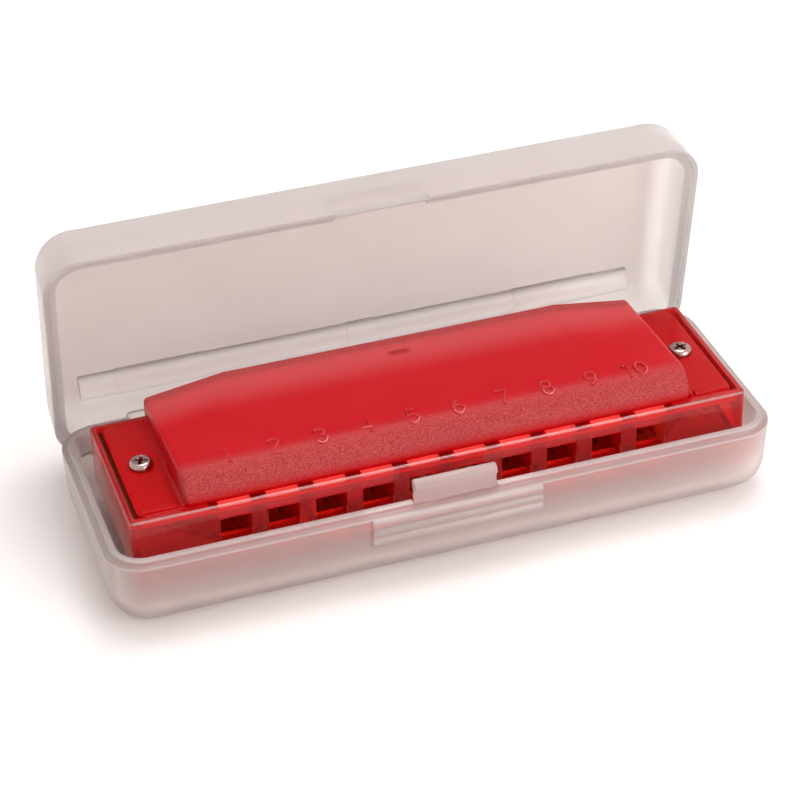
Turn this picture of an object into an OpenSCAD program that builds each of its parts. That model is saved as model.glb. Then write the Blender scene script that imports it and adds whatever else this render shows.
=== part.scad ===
// Hinged case with a snap latch, shown open, holding a ten-hole mouth organ.
// Millimetres. The case stands on its flat underside at z = 0, centred on x and y,
// with the latch at the front (-y) and the hinge at the back (+y).

/* [Case] */
// Length of the case over its rim
case_len = 108.4; // [106:0.2:116]
// Depth of the case over its rim, front to back
case_dep = 39.6; // [38.8:0.2:46]
// Corner radius of the case seen from above
corner_r = 6.2; // [5.8:0.1:8]
// Radius of the edge round the underside and the lid's top
edge_r = 5.5; // [4.5:0.1:6]
// How far the walls lean in below the rim
draft = 0.3; // [0.1:0.05:0.6]
// Thickness of the side walls
side_wall = 2.1; // [1.9:0.05:2.3]
// Height of the tray up to its ledge
tray_h = 12.3; // [12:0.1:14]
// Thickness of the tray's floor
floor_t = 1.6; // [1.2:0.1:2]
// Gap between the shut lid and the top cover
top_gap = 0.3; // [0.2:0.05:0.6]
// Thickness of the lid's top panel
panel_t = 1.3; // [1:0.1:1.5]
// Gap between the lid's rim and the tray's ledge when shut
rim_gap = 0.1; // [0.05:0.05:0.2]

/* [Tongue] */
// Thickness of the raised tongue inside the tray's ledge
tongue_t = 1.05; // [0.9:0.05:1.2]
// Height of the tongue above the ledge
tongue_h = 0.8; // [0.5:0.05:1]
// Clearance between the tongue and the lid
tongue_gap = 0.12; // [0.08:0.02:0.2]

/* [Hinge] */
// Hinge axis to the outside of the back wall
hinge_in = 3.2; // [3.1:0.05:3.4]
// Hinge axis below the tray's ledge
hinge_down = 2.65; // [2.5:0.05:2.8]
// How far the lid swings back from shut to its stop
open_angle = 81.5; // [75:0.5:84]
// Radius of the hinge pins
pin_r = 0.8; // [0.6:0.05:0.9]
// Radial clearance of the pins in their lugs
pin_gap = 0.05; // [0.02:0.01:0.1]
// Length of each hinge pin
pin_len = 1.7; // [1.2:0.1:2.2]
// Radius of the barrel at the end of each hinge arm
barrel_r = 1.5; // [1.3:0.05:1.6]
// Thickness of the hinge arms
arm_t = 1.6; // [1.4:0.1:1.8]
// Width of each hinge arm
arm_w = 14.8; // [10:0.2:18]
// Middle of each hinge arm in from the end of the case
arm_in = 19.7; // [19:0.1:26]
// How high the hinge arms run up the lid's back wall
arm_h = 4; // [3:0.1:5]
// Gap on each side of a hinge arm
arm_gap = 0.2; // [0.1:0.05:0.4]
// Width of the lugs that hold the pins
lug_w = 2.8; // [2.4:0.1:3.4]
// Wall round the pin in a lug
lug_wall = 1; // [0.8:0.05:1.1]
// Clearance of the lid's back edge as it swings past the tray
swing_gap = 0.12; // [0.08:0.02:0.2]
// Width of the pad on the back wall that the open lid rests on
stop_w = 22; // [10:1:36]
// Height of the stop pad
stop_h = 1.6; // [1:0.1:2.4]
// Gap left at the stop
stop_gap = 0.04; // [0.02:0.01:0.1]

/* [Hinge moulding] */
// Each end of the round moulding beside the hinge, in from the end of the case
ridge_in = 6.2; // [5:0.1:14]
// Radius of the moulding
ridge_r = 2.6; // [2:0.1:2.8]
// How far the moulding stands in from the lid's top panel
ridge_out = 2; // [1.4:0.1:2.2]
// Gap between the moulding and the inside of the back wall
ridge_back = 1.2; // [0:0.1:1.6]
// Step up of the wider bands of the moulding
ridge_step = 0.14; // [0.05:0.01:0.2]
// Width of the middle band of the moulding
ridge_mid_w = 4.9; // [3:0.1:8]
// Height of the line moulded along the tray's inner back wall
groove_h = 0.45; // [0.3:0.05:0.8]
// Depth of that line
groove_d = 0.5; // [0.3:0.05:0.8]
// Each end of that line, in from the end of the case
groove_in = 3; // [2.7:0.1:6]
// Top of that line below the tray's ledge
groove_down = 3.2; // [3:0.1:4]

/* [Latch] */
// Width of the latch tab
tab_w = 13.3; // [8:0.1:18]
// Height of the latch tab above the ledge
tab_h = 4.55; // [3.8:0.05:5]
// Radius of the bead along the top of the tab
bead_r = 0.95; // [0.8:0.05:1]
// How far the bead stands out from the face of the tab
bead_out = 0.45; // [0.3:0.05:0.5]
// Gap at each end of the tab
tab_gap = 0.25; // [0.15:0.05:0.4]
// Clearance round the tab's root and inside the lid's pocket
latch_gap = 0.1; // [0.05:0.01:0.15]
// Width of the lid's pocket for the latch
pocket_w = 15.1; // [14:0.1:22]
// Height of the bevel on the lid's rim above the latch
bevel_h = 1.1; // [0.6:0.1:1.3]
// Depth of the bevel on the lid's rim
bevel_d = 0.65; // [0.4:0.05:0.75]

/* [Grip] */
// Width of the ribbed grip on the front of the tray
grip_w = 27.6; // [16:0.2:40]
// Height of the grip from the ledge down
grip_h = 5.1; // [4:0.1:6]
// Number of ribs
grip_n = 3; // [2:1:4]
// How far the ribs stand out
grip_out = 0.6; // [0.4:0.05:0.8]

/* [Rests] */
// Distance between the two low rests on the floor
rest_gap = 12; // [8:0.5:16]
// Height of the rests above the floor
rest_h = 1.15; // [0.9:0.05:1.5]
// Each end of the rests, in from the end of the bottom cover's body
rest_in = 9; // [4:0.5:20]
// Thickness of the rests
rest_t = 1.2; // [0.8:0.1:2]
// Clearance between the rests and the bottom cover
rest_clear = 0.05; // [0.02:0.01:0.1]

/* [Comb] */
// Gap between the comb and the tray's wall at each end
end_gap = 2.2; // [1.8:0.1:3]
// Room behind the comb, to the outside of the tray's back
back_gap = 8; // [7.6:0.1:9]
// Height of the comb
comb_h = 9.7; // [9.4:0.1:10]
// Front of the comb behind the outside of the tray's front
comb_front = 4.6; // [4.4:0.1:5]
// Thickness of the comb's front rim
rim_front = 1.2; // [1:0.05:1.4]
// Thickness of the comb's side and back rims
rim_side = 0.9; // [0.7:0.05:1.1]
// Bevel along the comb's long edges
comb_bevel = 0.3; // [0.1:0.05:0.4]
// Corner radius of the comb seen from above
comb_corner = 0.8; // [0.5:0.1:1.2]
// Number of holes
holes = 10; // [8:1:10]
// Middle of the first and of the last hole in from the ends of the comb
hole_in = 16.15; // [15.7:0.05:17]
// Width of a hole and its channel
hole_w = 4.95; // [4.6:0.05:5.2]
// Height of a hole
hole_h = 4.6; // [4.4:0.1:5]
// Thickness of the wall that the holes pass through
hole_wall = 2.6; // [2:0.1:3]
// Thickness of the comb behind the channels
back_block = 3.3; // [3:0.1:4.5]

/* [Reed plates] */
// Thickness of a reed plate
plate_t = 0.9; // [0.8:0.05:1]
// Clearance round a reed plate
plate_gap = 0.1; // [0.05:0.01:0.2]
// Width of a reed
reed_w = 2; // [1.6:0.1:2.2]
// Thickness of a reed
reed_t = 0.25; // [0.2:0.05:0.3]
// Tip of the lowest reed to the end of its channel
reed_tip = 2.7; // [1:0.1:4]
// How much shorter the highest reed is than the lowest
reed_step = 6.2; // [4:0.1:8]
// Clearance between a reed and its slot, all round
slot_gap = 0.15; // [0.1:0.01:0.2]
// Width of a reed's root
root_w = 3; // [2.8:0.1:3.4]
// Length of a reed's root
root_len = 3; // [2.4:0.1:3.2]
// Radius of a rivet's shank
rivet_r = 0.5; // [0.4:0.05:0.6]
// Radius of a rivet's head
rivet_head_r = 0.9; // [0.8:0.05:1]
// Height of a rivet's head
rivet_head_h = 0.35; // [0.2:0.05:0.4]

/* [Covers] */
// Wall of a cover
cover_t = 1; // [0.8:0.05:1.1]
// Length of a cover's flange beyond its raised body, to the end of the comb
flange_len = 8.9; // [8.6:0.1:11]
// Length of the slope at each end of a cover's body
slope_len = 13.5; // [9:0.5:20]
// Height of a cover's back edge in the middle, above the comb
high_h = 5.1; // [4.8:0.1:5.1]
// Height of a cover's back edge at its ends
low_h = 3.1; // [2.6:0.1:4]
// Height of a cover's front bulge
bulge_h = 4.65; // [4:0.05:4.7]
// Depth of the curve up from a cover's front edge
bulge_dep = 4.8; // [3.5:0.1:6]
// Flange of a cover inside the comb's side rims
flange_gap = 0.75; // [0.3:0.05:1]
// Corner radius of the flange
flange_r = 1.5; // [1:0.1:2.5]
// Width of the raised lip along the flange's front
lip_w = 1.2; // [0.8:0.1:1.6]
// Height of the lip
lip_h = 0.3; // [0.2:0.05:0.4]
// Lip in from the flange's front edge
lip_in = 0.4; // [0.2:0.05:0.8]
// How much shorter the lip is than the flange
lip_gap = 1; // [0.6:0.1:2]
// Width of the support post under the back of a cover
post_w = 3.2; // [2:0.1:5]
// Thickness of the support post
post_t = 1.4; // [1:0.1:2]
// Support post in from the back edge
post_in = 4.2; // [3:0.1:6]

/* [Screws] */
// Cover screws in from the end of the comb
screw_in = 5.2; // [4.6:0.1:5.4]
// Cover screws behind the front of the comb
screw_back = 14; // [12:0.1:16]
// Radius of the screw's shank
screw_r = 0.95; // [0.8:0.05:1]
// Clearance round the shank
screw_gap = 0.1; // [0.05:0.01:0.2]
// Radius of the screw's head
head_r = 1.75; // [1.6:0.05:1.9]
// Height of the screw's domed head
head_h = 1.15; // [1:0.05:1.3]
// Depth of the cross recess
cross_d = 0.65; // [0.4:0.05:0.7]
// Width of the arms of the cross recess
cross_w = 0.5; // [0.3:0.05:0.6]
// Length of the cross recess from arm to arm
cross_len = 2.2; // [1.6:0.1:2.6]
// How far the cross is turned
cross_turn = 20; // [0:5:85]
// How far a screw's end stands out of its nut
screw_end = 0.3; // [0.1:0.05:0.6]
// Width of a nut across its flats
nut_w = 3.5; // [3.2:0.1:4]
// Thickness of a nut
nut_h = 1.2; // [1:0.1:1.6]

/* [Hidden] */
blow_names = [for (i = [1 : holes]) str("blow_reed_", i)];
draw_names = [for (i = [1 : holes]) str("draw_reed_", i)];

$fn = 48;
fine = 96;
eps = 0.01;
reach = 200;
// Upright band that the case's walls have at the rim before they lean in
band = 1.2;
// Air under a cover's flange and in front of it
seat_gap = 0.05;
// Angle round the bulge at which it meets a cover's flat top
bulge_end = 100;

// Comb and covers, which the case fits round; lengths first, then heights from the floor up
comb_len = case_len - 2 * (side_wall + end_gap);
comb_dep = case_dep - comb_front - back_gap;
body_half = comb_len / 2 - flange_len;
high_half = body_half - slope_len;
screw_x = comb_len / 2 - screw_in;
pitch = (comb_len - 2 * hole_in) / (holes - 1);
rest_len = 2 * (body_half - rest_in);
rest_top = floor_t + rest_h;
comb_top = comb_h / 2;
comb_y = -case_dep / 2 + comb_front + comb_dep / 2;
comb_z = rest_top + rest_clear + high_h + comb_top;

// Hinge axis and arms, and the lid's rim and top when shut
axis_y = case_dep / 2 - hinge_in;
axis_z = tray_h - hinge_down;
arm_x = case_len / 2 - arm_in;
ridge_len = case_len - 2 * ridge_in;
groove_len = case_len - 2 * groove_in;
rim_z = tray_h + rim_gap;
inner_top_z = comb_z + comb_top + high_h + top_gap;
top_z = inner_top_z + panel_t;
lid_h = top_z - rim_z;

// Levels that the top half of the comb steps through, from the comb's own middle
flange_top = comb_top + seat_gap;
flange_bottom = flange_top - cover_t;
plate_bottom = flange_bottom - plate_t;
front_y = -comb_dep / 2;
back_y = comb_dep / 2;

// Inside of the rims that the reed plates and flanges lie within
bed_x = comb_len / 2 - rim_side;
bed_front = front_y + rim_front;
bed_back = back_y - rim_side;
cover_front = bed_front + seat_gap;
cover_back = back_y + 2 * seat_gap;
channel_front = front_y + hole_wall;
channel_back = back_y - back_block;
root_gap = 0.15;
blow_rivet_y = channel_back - root_len / 2 - root_gap;
draw_rivet_y = cover_front + cover_t + root_gap + root_len / 2;
reed_long = channel_back - channel_front - root_gap - root_len - reed_tip;

// Latch: the tab's face is in line with the tongue's, and it flexes about its root
tab_y = -case_dep / 2 + side_wall - tongue_t / 2;
tab_face = tab_y - tongue_t / 2;
tab_root_z = tray_h + tongue_t / 2;
bead_z = tray_h + tab_h - bead_r;
bead_y = tab_face - bead_out + bead_r;

function hole_x(i) = (i - (holes + 1) / 2) * pitch;
function reed_len(i) = reed_long - reed_step * (i - 1) / (holes - 1);
function arc(cx, cy, rx, ry, a0, a1, n) =
    [for (k = [0 : n]) let(a = a0 + (a1 - a0) * k / n) [cx + rx * cos(a), cy + ry * sin(a)]];

// Back of the rim behind the hinge axis at a given x, which shrinks round the corners
function rim_back(x) =
    let(over = max(0, abs(x) - (case_len / 2 - corner_r)))
    hinge_in - corner_r + sqrt(max(0, corner_r * corner_r - over * over));

// A rectangle with round corners, drawn from true circles
module round_rect(l, d, r) {
    square([l - 2 * r, d], center = true);
    square([l, d - 2 * r], center = true);
    for (sx = [-1, 1], sy = [-1, 1])
        translate([sx * (l / 2 - r), sy * (d / 2 - r)]) circle(r, $fn = fine);
}

// A rectangular dish, rim up at z = rim, with an upright band and then a round edge below it
module dish(l, d, r, rim, bottom, er) {
    hull() {
        for (sx = [-1, 1], sy = [-1, 1]) {
            translate([sx * (l / 2 - r), sy * (d / 2 - r), rim - band]) cylinder(r = r, h = band, $fn = 40);
            translate([sx * (l / 2 - er - draft), sy * (d / 2 - er - draft), bottom + er])
                sphere(er, $fn = 40);
        }
    }
}

// One half of the case, rim up: a hollow shell of the given height
module shell(h, base_t) {
    difference() {
        dish(case_len, case_dep, corner_r, h, 0, edge_r);
        dish(case_len - 2 * side_wall, case_dep - 2 * side_wall, corner_r - side_wall, h + eps,
             base_t, edge_r - base_t);
    }
}

// A bar with a round section along x, centred on x
module rod(l, r) {
    rotate([0, 90, 0]) cylinder(r = r, h = l, center = true);
}

// Places its children at both hinge arms
module at_arms() {
    for (s = [-1, 1]) translate([s * arm_x, axis_y, axis_z]) children();
}

module tray_lugs() {
    lug_r = pin_r + pin_gap + lug_wall;
    at_arms()
        for (s = [-1, 1]) translate([s * (arm_w / 2 + arm_gap + lug_w / 2), 0, 0]) {
            rod(lug_w, lug_r);
            translate([-lug_w / 2, 0, -lug_r]) cube([lug_w, hinge_in - side_wall / 2, 2 * lug_r]);
        }
}

module tray_notches() {
    reach_down = barrel_r + 0.6;
    at_arms() translate([-arm_w / 2 - arm_gap, -barrel_r - 0.4, -reach_down])
        cube([arm_w + 2 * arm_gap, hinge_in + reach, hinge_down + tongue_h + reach_down + 1]);
}

module tray_bores() {
    at_arms() rod(arm_w + 2 * (arm_gap + lug_w) + 1, pin_r + pin_gap);
}

// Pad on the back wall where the lid's back edge comes to rest
module stop_pad() {
    edge_z = sqrt(pow(swing_r(0), 2) - hinge_in * hinge_in);
    face_y = hinge_in * cos(open_angle) + edge_z * sin(open_angle) - stop_gap;
    mid_z = edge_z * cos(open_angle) - hinge_in * sin(open_angle);
    translate([-stop_w / 2, axis_y + hinge_in - side_wall / 2, axis_z + mid_z - stop_h / 2])
        cube([stop_w, face_y - hinge_in + side_wall / 2, stop_h]);
}

module grip_ribs() {
    rib_h = grip_h / grip_n;
    for (i = [0 : grip_n - 1])
        translate([0, -case_dep / 2 + rib_h / 2 + 0.1 - grip_out, tray_h - rib_h * (i + 0.5)]) {
            rod(grip_w, rib_h / 2);
            translate([-grip_w / 2, 0, -rib_h / 2]) cube([grip_w, side_wall - rib_h / 2 + grip_out - 0.2, rib_h]);
        }
}

// Low rests that the bottom cover lies on
module rests() {
    for (s = [-1, 1])
        translate([-rest_len / 2, comb_y + back_y - 2 - rest_t - (1 - s) * rest_gap / 2, floor_t / 2])
            cube([rest_len, rest_t, rest_top - floor_t / 2]);
}

module case_tray() {
    color([0.82, 0.77, 0.75, 0.7])
        difference() {
            union() {
                shell(tray_h, floor_t);
                translate([0, 0, tray_h - 0.5]) linear_extrude(tongue_h + 0.5) difference() {
                    round_rect(case_len - 2 * (side_wall - tongue_t), case_dep - 2 * (side_wall - tongue_t),
                               corner_r - side_wall + tongue_t);
                    round_rect(case_len - 2 * side_wall, case_dep - 2 * side_wall, corner_r - side_wall);
                }
                tray_lugs();
                stop_pad();
                grip_ribs();
                rests();
            }
            tray_notches();
            tray_bores();
            // Line along the inside of the back wall
            translate([-groove_len / 2, case_dep / 2 - side_wall - 1, tray_h - groove_down - groove_h])
                cube([groove_len, 1 + groove_d, groove_h]);
            // Seat of the latch tab: a gap in the tongue with a round bottom
            translate([-tab_w / 2 - tab_gap, tab_face - 0.3, tray_h])
                cube([tab_w + 2 * tab_gap, tongue_t + 0.6, tongue_h + 1]);
            translate([0, tab_y, tab_root_z]) rod(tab_w + 2 * tab_gap, tongue_t / 2 + latch_gap);
        }
}

// Radius that the tray's back edge sweeps about the hinge axis at a given x
function swing_r(x) = sqrt(pow(rim_back(x), 2) + hinge_down * hinge_down) + swing_gap;

// Room for the tray's back edge as the lid swings round it, in steps that follow the corner
module swing_room() {
    straight = case_len / 2 - corner_r;
    steps = 6;
    translate([0, axis_y, axis_z]) {
        rod(2 * straight, swing_r(0));
        for (s = [-1, 1], k = [0 : steps - 1]) {
            x0 = straight + corner_r * k / steps;
            translate([s * (x0 + corner_r / steps / 2), 0, 0]) rod(corner_r / steps + eps, swing_r(x0));
        }
    }
}

module hinge_arms() {
    at_arms() {
        rod(arm_w, barrel_r);
        rod(arm_w + 2 * (arm_gap + pin_len), pin_r);
        translate([-arm_w / 2, -arm_t / 2, 0]) cube([arm_w, arm_t, hinge_down + arm_h]);
        translate([-arm_w / 2, -arm_t / 2, swing_r(0) + 0.2])
            cube([arm_w, hinge_in - side_wall / 2 + arm_t / 2, hinge_down + arm_h - swing_r(0) - 0.2]);
    }
}

module hinge_ridge() {
    y = case_dep / 2 - side_wall - ridge_back;
    translate([0, y - ridge_r + ridge_back, inner_top_z - ridge_out + ridge_r]) {
        rod(ridge_len, ridge_r, $fn = fine);
        rod(ridge_mid_w, ridge_r + ridge_step, $fn = fine);
        for (s = [-1, 1]) translate([s * arm_x, 0, 0]) rod(arm_w, ridge_r + ridge_step, $fn = fine);
    }
}

// Pocket inside the lid's front wall that the latch snaps into
module latch_pocket() {
    lip_face = tab_face - latch_gap;
    bead_face = bead_y - bead_r - latch_gap;
    catch_top = bead_z - bead_r - latch_gap;
    inside = -case_dep / 2 + side_wall;
    translate([-pocket_w / 2, lip_face, rim_z - 1])
        cube([pocket_w, inside - lip_face + 1, tray_h + tab_h + 0.2 - rim_z + 1]);
    translate([-pocket_w / 2, bead_face, catch_top])
        cube([pocket_w, lip_face - bead_face + 1, tray_h + tab_h + 0.2 - catch_top]);
    translate([-pocket_w / 2, -case_dep / 2, rim_z]) rotate([90, 0, 90]) linear_extrude(pocket_w)
        polygon([[-1, -1], [bevel_d + bevel_d / bevel_h, -1], [0, bevel_h], [-1, bevel_h]]);
}

module lid_shut() {
    intersection() {
        difference() {
            union() {
                difference() {
                    translate([0, 0, top_z]) mirror([0, 0, 1]) shell(lid_h, panel_t);
                    // Rebate that drops over the tongue
                    translate([0, 0, rim_z - 1]) linear_extrude(1 + tongue_h - rim_gap + tongue_gap)
                        round_rect(case_len - 2 * (side_wall - tongue_t - tongue_gap),
                                   case_dep - 2 * (side_wall - tongue_t - tongue_gap),
                                   corner_r - side_wall + tongue_t + tongue_gap);
                    swing_room();
                }
                hinge_ridge();
            }
            latch_pocket();
        }
        // Keeps the round moulding within the lid's outside
        translate([0, 0, top_z]) mirror([0, 0, 1]) dish(case_len, case_dep, corner_r, lid_h, 0, edge_r);
    }
    hinge_arms();
}

module case_lid() {
    color([0.82, 0.77, 0.75, 0.7])
        translate([0, axis_y, axis_z]) rotate([-open_angle, 0, 0]) translate([0, -axis_y, -axis_z]) lid_shut();
}

module latch_tab() {
    color([0.84, 0.79, 0.77, 0.8]) {
        translate([0, tab_y, tab_root_z]) rod(tab_w, tongue_t / 2);
        translate([-tab_w / 2, tab_face, tab_root_z]) cube([tab_w, tongue_t, bead_z - tab_root_z]);
        translate([0, bead_y, bead_z]) rod(tab_w, bead_r);
    }
}

// Puts its children in place from the comb's own middle
module harp() {
    translate([0, comb_y, comb_z]) children();
}

module both_sides() {
    children();
    mirror([0, 0, 1]) children();
}

// Places its children at both cover screws
module at_screws() {
    for (s = [-1, 1]) translate([s * screw_x, front_y + screw_back, 0]) children();
}

module comb() {
    b = comb_bevel;
    h = comb_h / 2;
    color([0.85, 0.06, 0.1, 0.8]) harp() difference() {
        intersection() {
            rotate([90, 0, 90]) linear_extrude(comb_len, center = true)
                polygon([[front_y, -h + b], [front_y + b, -h], [back_y - b, -h], [back_y, -h + b],
                         [back_y, h - b], [back_y - b, h], [front_y + b, h], [front_y, h - b]]);
            linear_extrude(comb_h, center = true) round_rect(comb_len, comb_dep, comb_corner);
        }
        // Beds of the reed plates and cover flanges
        both_sides() translate([-bed_x, bed_front, plate_bottom])
            cube([2 * bed_x, bed_back - bed_front, comb_h]);
        for (i = [1 : holes]) translate([hole_x(i), 0, 0]) {
            translate([-hole_w / 2, front_y - 1, -hole_h / 2]) cube([hole_w, hole_wall + 1.5, hole_h]);
            translate([-hole_w / 2, channel_front, -comb_h / 2])
                cube([hole_w, channel_back - channel_front, comb_h]);
        }
        at_screws() cylinder(r = screw_r + screw_gap, h = comb_h + 2, center = true);
    }
}

// Outline of a cover across its body, front to the left: a curved front, then a straight top
// to the back edge. cut takes the wall off all round for the hollow inside.
function cover_outline(back_h, cut) = concat(
    [[cover_front + cut, flange_bottom - cut]],
    arc(cover_front + bulge_dep, comb_top, bulge_dep - cut, bulge_h - cut, 180, bulge_end, 12),
    [[cover_back + cut, comb_top + back_h - cut]],
    [[cover_back + cut, flange_bottom - cut]]
);

module cover_slice(half, back_h, cut) {
    rotate([90, 0, 90]) linear_extrude(2 * half, center = true) polygon(cover_outline(back_h, cut));
}

// Solid form of a cover's raised body, made smaller all round by cut
module cover_form(cut) {
    hull() {
        cover_slice(body_half - cut, low_h, cut);
        cover_slice(high_half, high_h, cut);
    }
}

module flange_plate() {
    half = bed_x - flange_gap;
    dep = bed_back - 2 * seat_gap - cover_front;
    lip_len = half - body_half - lip_gap;
    translate([0, cover_front + dep / 2, flange_bottom])
        linear_extrude(cover_t) round_rect(2 * half, dep, flange_r);
    for (s = [-1, 1])
        translate([s * (half + body_half) / 2 - lip_len / 2, cover_front + lip_in, flange_top - eps])
            cube([lip_len, lip_w, lip_h]);
}

module cover_shell() {
    difference() {
        union() {
            flange_plate();
            cover_form(0);
        }
        cover_form(cover_t);
        // Clears the comb's back rim
        translate([-reach / 2, bed_back - seat_gap, flange_top - reach]) cube(reach);
    }
    intersection() {
        translate([0, back_y - post_in, 0]) linear_extrude(reach)
            round_rect(post_w, post_t, post_t / 2 - eps);
        translate([-reach / 2, -reach / 2, flange_bottom]) cube(reach);
        cover_form(cover_t / 2);
    }
}

module cover() {
    color([0.85, 0.1, 0.14, 0.85]) difference() {
        cover_shell();
        at_screws() cylinder(r = screw_r + screw_gap, h = reach);
    }
}

module cover_top() {
    harp() cover();
}

module cover_bottom() {
    harp() mirror([0, 0, 1]) cover();
}

// Plate with one slot to a reed; the slot starts at the reed's root and runs towards its tip
module reed_plate(rivet_y, toward) {
    difference() {
        translate([-bed_x + plate_gap, bed_front + plate_gap, plate_bottom])
            cube([2 * (bed_x - plate_gap), bed_back - bed_front - 2 * plate_gap, plate_t]);
        for (i = [1 : holes]) translate([hole_x(i), rivet_y + toward * root_len / 2, 0]) {
            slot_len = reed_len(i) + slot_gap;
            translate([-reed_w / 2 - slot_gap, toward > 0 ? 0 : -slot_len, plate_bottom - 1])
                cube([reed_w + 2 * slot_gap, slot_len, plate_t + 2]);
        }
        for (i = [1 : holes]) translate([hole_x(i), rivet_y, plate_bottom - 1])
            cylinder(r = rivet_r, h = plate_t + 2);
        at_screws() translate([0, 0, plate_bottom - 1]) cylinder(r = screw_r + screw_gap, h = plate_t + 2);
    }
}

module reed_plate_top() {
    color([0.72, 0.56, 0.28]) harp() reed_plate(blow_rivet_y, -1);
}

module reed_plate_bottom() {
    color([0.72, 0.56, 0.28]) harp() mirror([0, 0, 1]) reed_plate(draw_rivet_y, 1);
}

// A reed with its root on the rivet; z is its lower face
module reed(i, rivet_y, toward, z) {
    color([0.82, 0.66, 0.36]) translate([hole_x(i), rivet_y, z]) difference() {
        union() {
            translate([-root_w / 2, -root_len / 2, 0]) cube([root_w, root_len, reed_t]);
            translate([-reed_w / 2, toward > 0 ? 0 : -root_len / 2 - reed_len(i), 0])
                cube([reed_w, root_len / 2 + reed_len(i), reed_t]);
        }
        translate([0, 0, -1]) cylinder(r = rivet_r, h = reed_t + 2);
    }
}

module blow_reed(i) {
    harp() reed(i, blow_rivet_y, -1, plate_bottom - reed_t);
}

module draw_reed(i) {
    harp() mirror([0, 0, 1]) reed(i, draw_rivet_y, 1, plate_bottom + plate_t);
}

// Rivets through plate and reed, from z0 up to z1, with a head at each end
module rivets(rivet_y, z0, z1) {
    color([0.8, 0.68, 0.42]) for (i = [1 : holes]) translate([hole_x(i), rivet_y, 0]) {
        translate([0, 0, z0]) cylinder(r = rivet_r, h = z1 - z0, $fn = 24);
        translate([0, 0, z0 - rivet_head_h]) cylinder(r = rivet_head_r, h = rivet_head_h, $fn = 24);
        translate([0, 0, z1]) cylinder(r = rivet_head_r, h = rivet_head_h, $fn = 24);
    }
}

module rivets_top() {
    harp() rivets(blow_rivet_y, plate_bottom - reed_t, plate_bottom + plate_t);
}

module rivets_bottom() {
    harp() mirror([0, 0, 1]) rivets(draw_rivet_y, plate_bottom, plate_bottom + plate_t + reed_t);
}

// Domed head over the flange, with a tapered cross recess
module screw_head() {
    dome_r = (head_r * head_r + head_h * head_h) / (2 * head_h);
    difference() {
        intersection() {
            translate([0, 0, head_h - dome_r]) sphere(dome_r, $fn = fine);
            cylinder(r = head_r, h = head_h);
        }
        for (a = [0, 90]) rotate(a + cross_turn) translate([-cross_len / 2, -cross_w / 2, head_h - cross_d])
            cube([cross_len, cross_w, cross_d + 1]);
    }
}

module cover_screws() {
    color([0.8, 0.8, 0.82]) harp() at_screws() {
        translate([0, 0, flange_top]) screw_head();
        translate([0, 0, -flange_top - nut_h - screw_end])
            cylinder(r = screw_r, h = 2 * flange_top + nut_h + screw_end + eps);
    }
}

module cover_nuts() {
    color([0.75, 0.75, 0.78]) harp() at_screws() translate([0, 0, -flange_top - nut_h]) difference() {
        cylinder(d = nut_w / cos(30), h = nut_h, $fn = 6);
        translate([0, 0, -1]) cylinder(r = screw_r, h = nut_h + 2);
    }
}

case_tray();
case_lid();
latch_tab();
comb();
cover_top();
cover_bottom();
reed_plate_top();
reed_plate_bottom();
for (i = [1 : holes]) blow_reed(i);
for (i = [1 : holes]) draw_reed(i);
rivets_top();
rivets_bottom();
cover_screws();
cover_nuts();
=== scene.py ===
# %% [markdown]
# # A hinged case with a mouth organ in it
# The case is a long box of frosted, milky plastic, moulded in two halves. In its tray lies a red ten-hole mouth organ.
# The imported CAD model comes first: it fixes every size, so each new piece is placed from it and never by eye.

import math

import bmesh
import bpy
from mathutils import Matrix, Vector


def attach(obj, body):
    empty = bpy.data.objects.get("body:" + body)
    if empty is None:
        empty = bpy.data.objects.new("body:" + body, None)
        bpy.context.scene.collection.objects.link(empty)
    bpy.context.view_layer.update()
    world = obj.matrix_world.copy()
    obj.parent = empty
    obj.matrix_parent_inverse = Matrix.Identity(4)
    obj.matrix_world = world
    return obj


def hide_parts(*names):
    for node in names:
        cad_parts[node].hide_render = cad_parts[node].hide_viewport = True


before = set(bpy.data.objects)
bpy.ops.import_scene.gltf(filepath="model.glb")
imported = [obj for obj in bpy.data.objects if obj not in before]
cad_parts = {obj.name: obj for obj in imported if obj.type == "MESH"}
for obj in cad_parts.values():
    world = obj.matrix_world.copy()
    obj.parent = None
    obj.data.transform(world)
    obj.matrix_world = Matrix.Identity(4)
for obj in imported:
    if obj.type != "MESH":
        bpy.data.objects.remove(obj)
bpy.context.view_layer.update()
MM = 0.001

# %% [markdown]
# The camera stands where the photographer stood: a long lens a short arm's length away, looking down on the case from
# its front left, with a very slight tilt. It could be moved by eye until the picture fits. Here its angles and its aim
# were worked out from the comb's corners and its ten holes, whose sizes are known, so that every edge falls in place.

# %% Camera
VIEW_AZIMUTH = math.radians(-17.88)
VIEW_ELEVATION = math.radians(34.55)
VIEW_ROLL = math.radians(-1.5)
VIEW_DISTANCE = 376.9 * MM
VIEW_AIM = Vector((-8.4, -18.15, 32.0)) * MM
LENS_MM = 114.77

ahead = Vector((
    -math.sin(VIEW_AZIMUTH) * math.cos(VIEW_ELEVATION),
    math.cos(VIEW_AZIMUTH) * math.cos(VIEW_ELEVATION),
    -math.sin(VIEW_ELEVATION),
))
level_right = Vector((math.cos(VIEW_AZIMUTH), math.sin(VIEW_AZIMUTH), 0))
level_up = level_right.cross(ahead)
right = level_right * math.cos(VIEW_ROLL) + level_up * math.sin(VIEW_ROLL)
up = level_up * math.cos(VIEW_ROLL) - level_right * math.sin(VIEW_ROLL)

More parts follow.
